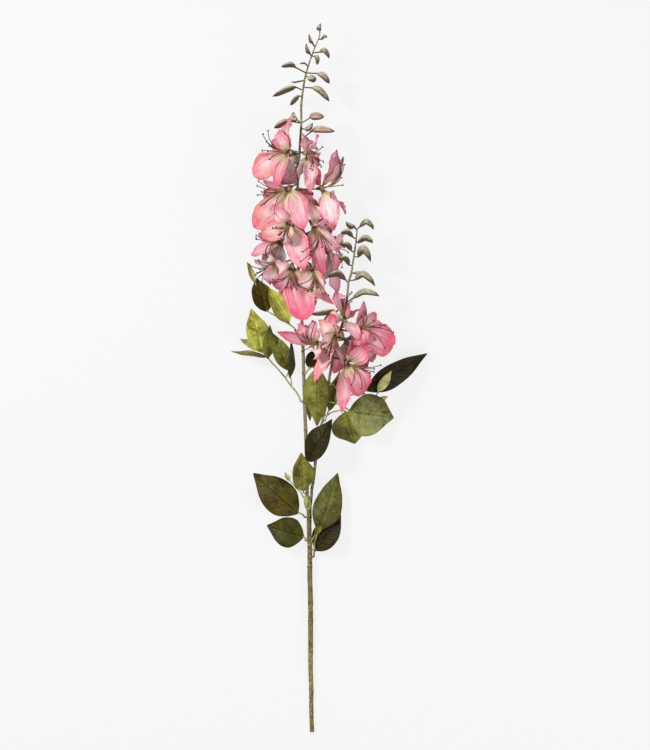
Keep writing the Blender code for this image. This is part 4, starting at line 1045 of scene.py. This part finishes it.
def leaf_cloth():
    made, tree, shader = new_material("leaf_cloth", {
        "Roughness": 0.42, "Specular IOR Level": 0.16, "Subsurface Weight": 0.04, "Subsurface Scale": 0.002})
    far, across, chance = mark(tree, "along"), mark(tree, "across"), mark(tree, "chance")
    spot = in_mm(tree)
    patch = cloud(tree, spot, 20.0, detail=2.0)
    blot = cloud(tree, spot, 5.0, detail=4.0, roughness=0.6)
    fleck = cloud(tree, spot, 1.8)
    off_middle = calc(tree, "ABSOLUTE", across)
    dye = mark(tree, "paint", "Color")
    dark_dye_and_shade = blend(tree, 1.0, dye, DARK_DYE_AND_SHADE, "MULTIPLY")
    pale_dye_and_light = blend(tree, 1.0, dye, PALE_DYE_AND_LIGHT, "MULTIPLY")

    # Clouds of dye and a darker edge; then painted shade on one half of the folded leaf and painted light on
    # the other, as light falls across the fold.
    half = plus(tree, product(tree, across, calc(tree, "SINE", chance)),
                product(tree, calc(tree, "SUBTRACT", patch, 0.5), 1.5))
    colour = coats(tree, dye, (patch, 0.46, 0.70, 0.9, dark_dye_and_shade), (patch, 0.50, 0.30, 0.6, pale_dye_and_light),
                   (blot, 0.46, 0.32, 0.22, pale_dye_and_light), (blot, 0.56, 0.74, 0.12, dark_dye_and_shade),
                   (off_middle, 0.80, 1.0, 0.5, dark_dye_and_shade), (half, -0.1, 0.5, 0.45, dark_dye_and_shade),
                   (half, -0.1, -0.7, 0.30, pale_dye_and_light))

    # Side veins leave the midrib at a slant; a vein is a thin line of painted shade in its groove with a
    # painted highlight on its flank.
    turn = calc(tree, "SUBTRACT", product(tree, far, SIDE_VEINS * math.tau),
                product(tree, off_middle, VEIN_SLANT))
    turn = plus(tree, plus(tree, turn, product(tree, patch, VEIN_WANDER)), chance)
    fades = product(tree, ease(tree, off_middle, 1.0, 0.35), ease(tree, blot, 0.62, 0.48))
    groove = product(tree, ease(tree, calc(tree, "SINE", turn), 0.90, 1.0), fades)
    vein_highlight = product(tree, ease(tree, calc(tree, "SINE", plus(tree, turn, -0.9)), 0.55, 1.0), fades)
    rib = ease(tree, off_middle, 0.055, 0.015)
    rib_highlight = ease(tree, calc(tree, "ABSOLUTE", calc(tree, "SUBTRACT", off_middle, 0.12)), 0.08, 0.0)
    vein = calc(tree, "MAXIMUM", rib, groove)
    # A painted highlight on the flanks of the veins and the midrib, then painted shade in their grooves.
    colour = blend(tree, product(tree, calc(tree, "MAXIMUM", vein_highlight, rib_highlight), 0.36), colour, pale_dye_and_light)
    colour = blend(tree, product(tree, vein, 0.34), colour, dark_dye_and_shade)
    colour = blend(tree, product(tree, mark(tree, "back"), 0.15), colour, pale_dye_and_light)
    tree.links.new(colour, shader.inputs["Base Color"])

    weave = cloud(tree, spot, 0.6, detail=1.0)
    height = plus(tree, product(tree, vein, -1.0), product(tree, fleck, 0.5))
    height = plus(tree, height, product(tree, blot, 1.2))
    relief(tree, shader, plus(tree, height, product(tree, weave, 0.2)), 0.8)
    return made

# %% [markdown]
# ## Bark, buds and wires
# The stalk is wrapped in printed paper: olive-brown with pale flecks and a lengthwise grain.
# Twigs use the same finish in green. Buds are moulded: the side that faces the tip of the stem,
# towards the main light, gets a painted highlight, the other side painted shade, and the ends are
# dark. Stamen wires fade from tan to a dark brown.

# %% Bark
BARK_DARK = paint(56, 42, 20)
BARK_LIGHT = paint(182, 170, 118)
BUD_TIP = paint(58, 46, 32)
# A painted highlight for the buds' lit side, and the painted shade of their other side.
BUD_PAINTED_LIGHT = paint(204, 196, 166)
BUD_PAINTED_SHADE = (0.30, 0.23, 0.19, 1.0)
WIRE_TAN = paint(160, 124, 84)
WIRE_BROWN = paint(84, 46, 34)
ANTHER = paint(58, 36, 26)


def bark():
    made, tree, shader = new_material("paper_bark", {"Roughness": 0.68, "Specular IOR Level": 0.3})
    grain = cloud(tree, in_mm(tree, (1.0, 7.0, 1.0)), 0.9, detail=4.0)
    patch = cloud(tree, in_mm(tree, (1.0, 2.5, 1.0)), 5.0, detail=3.0)
    fleck = cloud(tree, in_mm(tree), 1.8, detail=2.0)
    node_ring = mark(tree, "streak")
    colour = coats(tree, mark(tree, "paint", "Color"), (patch, 0.46, 0.66, 0.8, BARK_DARK),
                   (grain, 0.50, 0.68, 0.6, BARK_LIGHT), (fleck, 0.54, 0.64, 0.8, BARK_LIGHT),
                   (fleck, 0.42, 0.34, 0.6, BARK_DARK), (node_ring, 0.0, 1.0, 0.85, BARK_DARK))
    tree.links.new(colour, shader.inputs["Base Color"])
    relief(tree, shader, plus(tree, grain, product(tree, fleck, 0.8)), 0.5)
    return made

# %% Bud skin
def bud_skin():
    made, tree, shader = new_material("bud_skin", {"Roughness": 0.55, "Specular IOR Level": 0.35})
    far = mark(tree, "along")
    spot = in_mm(tree)
    patch = cloud(tree, spot, 2.6, detail=4.0, roughness=0.6)
    fine = cloud(tree, spot, 0.7)
    own = mark(tree, "paint", "Color")
    bud_painted_shade = blend(tree, 1.0, own, BUD_PAINTED_SHADE, "MULTIPLY")
    # "streak" says which way the surface faces: 1 towards the main light, -1 away from it. Painted shade
    # covers the side away from it and a painted highlight the side towards it.
    side = plus(tree, mark(tree, "streak"), product(tree, calc(tree, "SUBTRACT", patch, 0.5), 1.6))
    end = plus(tree, far, product(tree, patch, 0.3))
    # Painted shade away from the light, a painted highlight towards it, then the dark tip and foot.
    colour = coats(tree, own, (side, 0.22, -0.04, 0.92, bud_painted_shade), (side, 0.20, 0.75, 0.85, BUD_PAINTED_LIGHT),
                   (end, 0.90, 1.12, 0.85, BUD_TIP), (far, 0.34, 0.14, 0.7, BARK_DARK))
    tree.links.new(colour, shader.inputs["Base Color"])
    relief(tree, shader, plus(tree, patch, product(tree, fine, 0.4)), 0.6)
    return made

# %% Stamen wire, then all five materials
def stamen_wire():
    made, tree, shader = new_material("stamen_wire", {"Roughness": 0.5, "Specular IOR Level": 0.35})
    far = mark(tree, "along")
    dust = cloud(tree, in_mm(tree), 0.6)
    colour = coats(tree, WIRE_TAN, (far, 0.05, 0.60, 1.0, WIRE_BROWN), (far, 0.88, 0.93, 1.0, ANTHER),
                   (dust, 0.56, 0.74, 0.4, WIRE_TAN))
    tree.links.new(colour, shader.inputs["Base Color"])
    relief(tree, shader, dust, 0.15)
    return made


PETAL_CLOTH = petal_cloth()
LEAF_CLOTH = leaf_cloth()
BARK = bark()
BUD_SKIN = bud_skin()
STAMEN_WIRE = stamen_wire()
print("materials", [m.name for m in (PETAL_CLOTH, LEAF_CLOTH, BARK, BUD_SKIN, STAMEN_WIRE)])

# %% [markdown]
# ## From parts to a finished piece
# A piece joins its parts in one mesh, gets its place in the frame, and stands for a CAD node.
# Joining keeps the marks, because every part was made with the same layers.

# %% Finish a piece
SHARP_ANGLE = math.radians(50.0)


def tint(bm, colour, streak=0.0, coarse=0.0, chance=0.0):
    """Give all points of a part its own colour, how strong its heart and veins are, and a
    number by which its pattern differs from the next part's."""
    layers = bm.verts.layers
    for v in bm.verts:
        v[layers.float_color["paint"]] = colour
        v[layers.float["streak"]] = streak
        v[layers.float["coarse"]] = coarse
        v[layers.float["chance"]] = chance
    return bm


def finish_piece(name, parts, material, node, slot):
    """Join the parts, move them into the frame and let the piece stand for its node."""
    joined = marked_mesh()
    for bm in parts:
        part = bpy.data.meshes.new("part")
        bm.to_mesh(part)
        bm.free()
        joined.from_mesh(part)
        bpy.data.meshes.remove(part)
    mesh = bpy.data.meshes.new(name)
    joined.to_mesh(mesh)
    joined.free()
    mesh.transform(INTO_FRAME)
    mesh.materials.append(material)
    mesh.shade_smooth()
    mesh.set_sharp_from_angle(angle=SHARP_ANGLE)
    piece = bpy.data.objects.new(name, mesh)
    bpy.context.scene.collection.objects.link(piece)
    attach(piece, "root")
    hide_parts(node)
    return piece

# %% [markdown]
# ## The stalk and the stems
# The paper wrap makes the stalk knobbly: it swells at every node, where a leaf was torn off,
# and its skin is pitted between them. A finer rod with a radius that changes along the way
# gives the swellings, and a little noise moves the points for the rest.

# %% A knobbly stem
STALK_NODES = (57, 61, 114, 157, 181, 217, 232, 246, 269, 302)
SPIKE_NODES = (343, 378, 424, 464, 503, 556, 592, 640, 676, 715, 760, 811, 845, 878, 912)
STALK_BROWN = paint(104, 90, 50)
STALK_GREEN = paint(116, 116, 60)
SPIKE_OLIVE = paint(128, 117, 90)
COLLAR_LIME = paint(180, 186, 104)
GREEN_STRETCH = (60, 116)   # here the stalk's wrap is greener
NODE_WIDTH = 1.3
SHADE_ABOVE = 1.4           # a dark line lies this far above each node
COLLAR = [(-4, 312, 13.2, 3.5), (-4.5, 315, 13.5, 4.4), (-5.5, 319, 13.9, 4.9), (-6, 325, 14.4, 5.1),
          (-6.4, 330, 14.8, 5.3), (-6.5, 331, 14.9, 4.2)]
FORK = (-5, 318, 13.8, 3.7)  # where the stalk ends inside the collar


def swelling(y, nodes, width):
    """How close y is to a node, 1 at the node itself."""
    return max(math.exp(-((y - node) / width) ** 2) for node in nodes)


def knobbly_stem(table, nodes, per, sides, swell, rough, colour):
    """A stem with swollen nodes and a pitted skin."""
    rows = [(x, y, z, r + swell * swelling(y, nodes, NODE_WIDTH)) for x, y, z, r in smooth(table, per)]
    bm = tint(rod(rows, sides), colour)
    bm.normal_update()
    ring = bm.verts.layers.float["streak"]
    own = bm.verts.layers.float_color["paint"]
    for v in bm.verts:
        grain = noise.noise(Vector((v.co.x * 0.8, v.co.y * 0.25, v.co.z * 0.8)))
        pits = noise.noise(v.co * 0.9)
        if GREEN_STRETCH[0] < v.co.y < GREEN_STRETCH[1]:
            v[own] = STALK_GREEN
        v[ring] = 0.8 * swelling(v.co.y + SHADE_ABOVE, nodes, 0.9)
        v.co += v.normal * (rough * (grain + 0.6 * pits))
        v.co.z = max(v.co.z, 0.02)
    return bm

# %% The stalk, its collar and the two spikes' stems
stalk = finish_piece("stalk_bark", [
    knobbly_stem(LOWER_STALK[:-1] + [FORK], STALK_NODES, 16, 28, 0.45, 0.28, STALK_BROWN),
    tint(rod(smooth(COLLAR, 4), 24, lobes=5, depth=0.06), COLLAR_LIME)], BARK, "lower_stalk", "stalk")
for spike, path in (("main_spike", MAIN_SPIKE), ("side_spike", SIDE_SPIKE)):
    finish_piece(spike + "_bark", [knobbly_stem(path, SPIKE_NODES, 14, 20, 0.35, 0.12, SPIKE_OLIVE)],
                 BARK, spike, "spike")
print("stalk triangles", 2 * len(stalk.data.polygons))

# %% [markdown]
# ## Buds and calyces
# A closed bud is a claw with a keel along its back. A rod with a three-lobed section gives
# the keel for nothing. Real buds are heavy in the middle, so the two thickest rows sag a
# little and are fatter than in the CAD model. The calyx under a bloom is a small fluted cup.

# %% Buds and calyces
BUD_OLIVE = paint(134, 124, 98)
BUD_MAUVE = paint(164, 122, 112)
CALYX_OLIVE = paint(90, 72, 46)
BUD_SAG = 0.7               # how far the middle sags, as a share of the bud's radius
MAUVE_HEIGHTS = (838, 872)  # the buds next to the blooms have already begun to turn mauve


def mark_lit_side(bm):
    """Mark how far each point faces the tip end of the stem, where the main light stands; painted light and
    painted shade follow it.
    """
    bm.normal_update()
    facing = bm.verts.layers.float["streak"]
    for v in bm.verts:
        v[facing] = v.normal.y + 0.1 * v.normal.z
    return bm


def fine_bud(rows):
    """A smooth, sagging bud in the colour of its height on the stem."""
    colour = BUD_MAUVE if MAUVE_HEIGHTS[0] < rows[-1][1] < MAUVE_HEIGHTS[1] else BUD_OLIVE
    drop = BUD_SAG * max(row[3] for row in rows)
    sagged = rows[:3]
    for share, swell, (x, y, z, r) in zip((1.0, 0.75), (1.08, 1.2), rows[3:5]):
        sagged.append((x, y - share * drop, z, r * swell))
    fine = [(x, y, z, max(r, 0.3)) for x, y, z, r in smooth(sagged + rows[5:], 6)]
    return mark_lit_side(tint(rod(fine, 18, lobes=3, depth=0.2), colour))


def fine_calyx(rows):
    fine = [(x, y, z, max(r, 0.6)) for x, y, z, r in smooth(rows, 5)]
    # The calyx gets the same painted light and shade as the buds.
    return mark_lit_side(tint(rod(fine, 15, lobes=5, depth=0.07), CALYX_OLIVE))


for spike in ("main_spike", "side_spike"):
    finish_piece(spike + "_buds", [fine_bud(rows) for rows in buds[spike]], BUD_SKIN, spike, "spike")
    finish_piece(spike + "_calyces", [fine_calyx(rows) for rows in pedicels[spike]], BUD_SKIN,
                 spike, "spike")
    print(spike, "buds", len(buds[spike]), "calyces", len(pedicels[spike]))

# %% [markdown]
# ## Petals
# Up close a petal is never a smooth shell. Its edges are ruffled and its outline is uneven,
# the middle rib is pressed in, the cloth is pleated lengthwise and the tip curls over. Some
# tips are pointed, others blunt. The ruffle is only as deep as there is room for, so each
# finished petal is tried with less and less of it until it clears its neighbours.

# %% The outline and the ruffle of a fine petal
PETAL_ROWS = 36
PETAL_COLUMNS = 16
RUFFLE_DEPTH = 3.0
ROOM_ABOVE = 4.0        # a ruffle may rise this far over the highest plain petal
CUP_SWELL = 1.2         # the finished cup is fuller than the CAD model's
RUFFLES = (1.0, 0.75, 0.5, 0.3, 0.15, 0.0)
POINTED = [(0.0, 0.16), (0.2, 0.32), (0.4, 0.80), (0.56, 1.0), (0.72, 0.94), (0.84, 0.72),
           (0.94, 0.37), (1.0, 0.05)]
BLUNT = [(0.0, 0.16), (0.2, 0.32), (0.4, 0.78), (0.58, 1.0), (0.74, 1.0), (0.87, 0.86),
         (0.96, 0.54), (1.0, 0.14)]
# The petals, by their number in the bloom, whose tips are blunt.
BLUNT_PETALS = {"main_01": [2], "main_04": [0], "main_10": [1], "side_04": [1, 2], "side_05": [0]}
fine_steps = [math.sin(math.pi / 2 * (k / PETAL_ROWS) ** 0.85) for k in range(PETAL_ROWS + 1)]


def petal_relief(chance, ruffle):
    """How a petal's surface rises and falls: ruffled edges, a middle rib, uneven pleats."""
    edges = {side: [(chance.uniform(1.2, 1.9), chance.uniform(0, math.tau), 1.0),
                    (chance.uniform(3.0, 4.6), chance.uniform(0, math.tau), 0.45),
                    (chance.uniform(6.5, 9.0), chance.uniform(0, math.tau), 0.16)]
             for side in (False, True)}
    drift = chance.uniform(0, 50)

    def rise(u, v):
        swell = min(1.0, u / 0.3) ** 1.5
        wave = sum(size * math.sin(math.tau * waves * u + start) for waves, start, size in edges[v > 0])
        rib = -0.7 * math.exp(-(v / 0.10) ** 2) * (1.0 - 0.6 * u)
        pleat = 0.9 * noise.noise(Vector((v * 5.5, u * 1.3, drift))) * (1.0 - 0.5 * v * v)
        crease = 0.5 * noise.noise(Vector((v * 2.0, u * 7.0, drift + 9.0))) * abs(v)
        edge = RUFFLE_DEPTH * ruffle * wave * abs(v) ** 2.2
        return (edge + rib + (pleat + crease) * (0.4 + 0.6 * ruffle)) * swell
    return rise

# %% A fine petal
def fine_petal(name, number, petal, thick, ruffle):
    """One finished petal, the same each run because its chance has a fixed seed."""
    chance = random.Random(f"{name} {number}")
    table = BLUNT if number in BLUNT_PETALS.get(name, []) else POINTED
    swing, start = chance.uniform(1.6, 3.2), chance.uniform(0, math.tau)

    def outline(u):
        uneven = 0.05 * math.sin(math.tau * swing * u + start) + 0.025 * math.sin(math.tau * 3.1 * swing * u)
        return glide(table, u) * (1.0 + uneven * min(1.0, 3.0 * u))
    surface = petal_surface(*looks[name], *petal, outline, thick, petal_relief(chance, ruffle))
    return blade(surface, fine_steps, PETAL_COLUMNS, thick, fine=True)

# %% Every bloom: its cup and its ruffled petals
def fine_cup(throat, way):
    """The cup of a bloom. Its marks say "foot of a petal", so the print is brown all over."""
    rows = [(x, y, z, r * CUP_SWELL) for x, y, z, r in smooth(axis_rows(throat, way, CUP), 5)]
    cup = rod(rows, 18, lobes=5, depth=0.08)
    for v in cup.verts:
        v[cup.verts.layers.float["across"]] = 0.0
        v[cup.verts.layers.float["along"]] *= 0.2
    return tint(cup, CUP_BROWN)


ruffled = {}
for name, found in petals.items():
    node = "petals_" + name
    prints = BLOOMS[name].prints.split()
    throat, way = looks[name]
    parts = [fine_cup(throat, way)]
    for number, petal in found.items():
        for ruffle in RUFFLES:
            trial = fine_petal(name, number, petal, PETAL_THICK + GAP, ruffle)
            if is_free(node, trial, PETAL_TOP + ROOM_ABOVE):
                break
        take((node, number), fine_petal(name, number, petal, PETAL_THICK, ruffle))
        parts.append(tint(fine_petal(name, number, petal, PETAL_THICK, ruffle), *PRINTS[prints[number]],
                          chance=len(parts) + throat.y))
        ruffled[ruffle] = ruffled.get(ruffle, 0) + 1
    finish_piece(node + "_cloth", parts, PETAL_CLOTH, node, "petal")
print("petals by ruffle", dict(sorted(ruffled.items())))

# %% [markdown]
# ## Leaves on their twigs
# A leaf is pressed in a mould: the midrib is a groove and the cloth bulges between the side
# veins. The relief function does both, on the same blade as the petals.

# %% Fine leaves
TWIG_GREEN = paint(156, 156, 88)
LEAF_COLUMNS = 16
LEAF_ROW = 1.7          # mm of leaf to a row of faces


def leaf_relief(chance, wide):
    """Midrib groove, cloth puffed between side veins, a slow wave at the edge."""
    waves = chance.uniform(1.2, 2.0)
    start = chance.uniform(0, math.tau)
    deep = min(1.0, wide / 40.0)

    def rise(u, v):
        rib = -1.2 * deep * math.exp(-(v / 0.09) ** 2)
        puff = -1.0 * deep * math.cos(SIDE_VEINS * math.tau * u - VEIN_SLANT * abs(v)) * abs(v) * (1.0 - v * v)
        edge = 1.6 * deep * abs(v) ** 3 * math.sin(math.tau * waves * u + start + (v > 0) * 1.9)
        dent = 1.6 * deep * noise.noise(Vector((v * 1.7, u * 3.2, start))) * (1.0 - 0.5 * abs(v))
        return (rib + puff + edge + dent) * math.sin(math.pi * min(1.0, 0.1 + u * 0.88))
    return rise


def fine_leaf(name, number, leaf, dye):
    chance = random.Random(f"{name} {number}")
    length = (leaf[1] - leaf[0]).length
    rows = int(max(14, min(44, length / LEAF_ROW)))
    relief_of = leaf_relief(chance, leaf[3])
    surface = leaf_surface(*leaf, lambda u: glide(LEAF_OUTLINE, u), LEAF_THICK, relief_of)
    bm = blade(surface, [k / rows for k in range(rows + 1)], LEAF_COLUMNS, LEAF_THICK, fine=True)
    return tint(bm, DYES[dye], chance=chance.uniform(0, math.tau))


for name, (twigs, leaves) in sprays.items():
    slot = SPRAYS[name].slot
    parts = []
    for rows in twigs:
        fine = [(x, y, max(z, r), r) for x, y, z, r in smooth(rows, 6)]
        parts.append(tint(rod(fine, 12), TWIG_GREEN))
    finish_piece(name + "_twigs", parts, BARK, name, slot)
    parts = [fine_leaf(name, number, leaf, dye) for number, (leaf, dye) in enumerate(leaves)]
    finish_piece(name + "_cloth", parts, LEAF_CLOTH, name, slot)
print("sprays finished", len(sprays))

# %% [markdown]
# ## Stamens
# Each stamen is a wire with a dark anther set across its end, which a straight rod can't
# show. So the anther is a short spindle of its own at right angles to the wire. A bloom has
# more wires than the CAD model needed: the extra ones fan out between those, wherever a
# trial wire finds room.

# %% A fine stamen
WIRE_RADIUS = 0.62
ANTHER_LENGTH = 3.6
ANTHER_RADIUS = 0.85
WIRES_IN_A_BLOOM = 8
FAN = 55.0                  # degrees to either side of the middle wire
FAN_REACH = (0.95, 1.45)    # how long the added wires are, as a share of the middle one
WIRE_STEPS, SPINDLE_STEPS = 14, 8
ANTHER_STARTS = 0.87        # share of "along" where the wire's colour ends and the anther's begins


def fine_stamen(throat, way, tip):
    curve = filament_curve(throat, way, tip)
    wire = [(*quad(*curve, k / WIRE_STEPS), WIRE_RADIUS * (1.3 - 0.45 * k / WIRE_STEPS))
            for k in range(WIRE_STEPS + 1)]
    bm = tint(rod(wire, 8), WIRE_TAN)
    far = bm.verts.layers.float["along"]
    for v in bm.verts:
        v[far] *= ANTHER_STARTS
    slope = quad_slope(*curve, 1.0)
    across = slope.cross(UP).normalized() + slope * 0.5
    spindle = []
    for share in [k / SPINDLE_STEPS for k in range(SPINDLE_STEPS + 1)]:
        spot = tip + across * ((share - 0.5) * ANTHER_LENGTH)
        spindle.append((*spot, ANTHER_RADIUS * max(0.25, math.sin(math.pi * share) ** 0.6)))
    anther = tint(rod(spindle, 8), ANTHER)
    for v in anther.verts:
        v[anther.verts.layers.float["along"]] = 1.0
    return [bm, anther]

# %% The stamens of every bloom
def more_stamens(name, tips):
    """Add wires that fan out around the ones the table gives."""
    chance = random.Random(name)
    throat, _ = looks[name]
    wishes = BLOOMS[name].stamens
    reach = sum((Vector(wish) for wish in wishes), Vector()) / len(wishes) - throat
    found = list(tips)
    for number in range(WIRES_IN_A_BLOOM - len(tips)):
        turn = Matrix.Rotation(math.radians(chance.uniform(-FAN, FAN)), 3, "Z")
        wish = throat + turn @ reach * chance.uniform(*FAN_REACH)
        tip = settle_stamen(("stamens_" + name, f"more {number}"), *looks[name], wish)
        if tip is not None:
            found.append(tip)
    return found


wires = 0
for name, tips in stamens.items():
    if not tips:
        continue
    look = looks[name]
    parts = [tint(rod(smooth(axis_rows(*look, POST), 4), 12), WIRE_TAN)]
    for tip in more_stamens(name, tips):
        parts += fine_stamen(*look, tip)
        wires += 1
    finish_piece("stamens_" + name + "_wires", parts, STAMEN_WIRE, "stamens_" + name, "stamen")
print("stamen wires", wires)

# %% [markdown]
# ## Studio
# A product photographer lays such a stem on a white table and shoots straight down with a
# long lens. The main soft box stands at the left like a window, a second one hangs overhead
# and a weak one fills from the right, so that no petal is left dull. In such a picture the
# table is nearly white and almost free of shadow. Here it is dark paint that glows, which
# gives the same: a faint shadow over an even white.

# %% The table
TABLE_HALF = 6.0        # metres
TABLE_DROP = 0.0006     # it lies a hair below the stem, so that the two never share a plane
TABLE_GLOW = 0.825
TABLE_GREYS = (0.085, 0.085, 0.085, 1), (0.09, 0.09, 0.09, 1)

table_mesh = bpy.data.meshes.new("table")
bm = bmesh.new()
bmesh.ops.create_grid(bm, x_segments=1, y_segments=1, size=TABLE_HALF)
bmesh.ops.translate(bm, vec=(0.0, 0.0, -TABLE_DROP), verts=bm.verts[:])
bm.to_mesh(table_mesh)
bm.free()
table = bpy.data.objects.new("table", table_mesh)
bpy.context.scene.collection.objects.link(table)
table_white, table_tree, table_shader = new_material("table_white", {
    "Roughness": 0.9, "Specular IOR Level": 0.1, "Emission Color": (1.0, 1.0, 1.0, 1.0),
    "Emission Strength": TABLE_GLOW})
uneven = cloud(table_tree, in_mm(table_tree), 400.0)
table_tree.links.new(blend(table_tree, uneven, *TABLE_GREYS), table_shader.inputs["Base Color"])
table_mesh.materials.append(table_white)
table.visible_diffuse = False
print("table", table.dimensions[:2])

# %% Lights: place in metres, size, power in watts
SOFT_BOXES = {
    "window_left": ((-1.5, 0.9, 1.9), 0.55, 54.0),
    "fill_right": ((1.5, -0.5, 1.5), 0.8, 16.0),
    "overhead": ((0.5, -0.3, 3.2), 1.2, 20.0),
}
SKY_STRENGTH = 0.27
STEM_MIDDLE = Vector((0, 0, 0.03))

for name, (place, size, power) in SOFT_BOXES.items():
    data = bpy.data.lights.new(name, "AREA")
    data.size = size
    data.energy = power
    lamp = bpy.data.objects.new(name, data)
    lamp.location = place
    lamp.rotation_mode = "QUATERNION"
    lamp.rotation_quaternion = (STEM_MIDDLE - Vector(place)).to_track_quat("-Z", "Y")
    lamp.visible_camera = False
    bpy.context.scene.collection.objects.link(lamp)

world = bpy.data.worlds.new("studio")
bpy.context.scene.world = world
world.use_nodes = True
sky = world.node_tree.nodes["Background"]
sky.inputs["Color"].default_value = (1.0, 1.0, 1.0, 1.0)
sky.inputs["Strength"].default_value = SKY_STRENGTH
print("lights", list(SOFT_BOXES))

# %% Camera: straight above, as far back as a long lens needs
LENS, SENSOR = 300.0, 36.0
CAMERA_PLACE = (-0.0048, 0.0052, 8.775)

camera_data = bpy.data.cameras.new("camera")
camera_data.lens = LENS
camera_data.sensor_width = SENSOR
camera = bpy.data.objects.new("camera", camera_data)
camera.location = CAMERA_PLACE
bpy.context.scene.collection.objects.link(camera)
bpy.context.scene.camera = camera
bpy.context.scene.view_settings.view_transform = "Standard"
print("camera", CAMERA_PLACE)
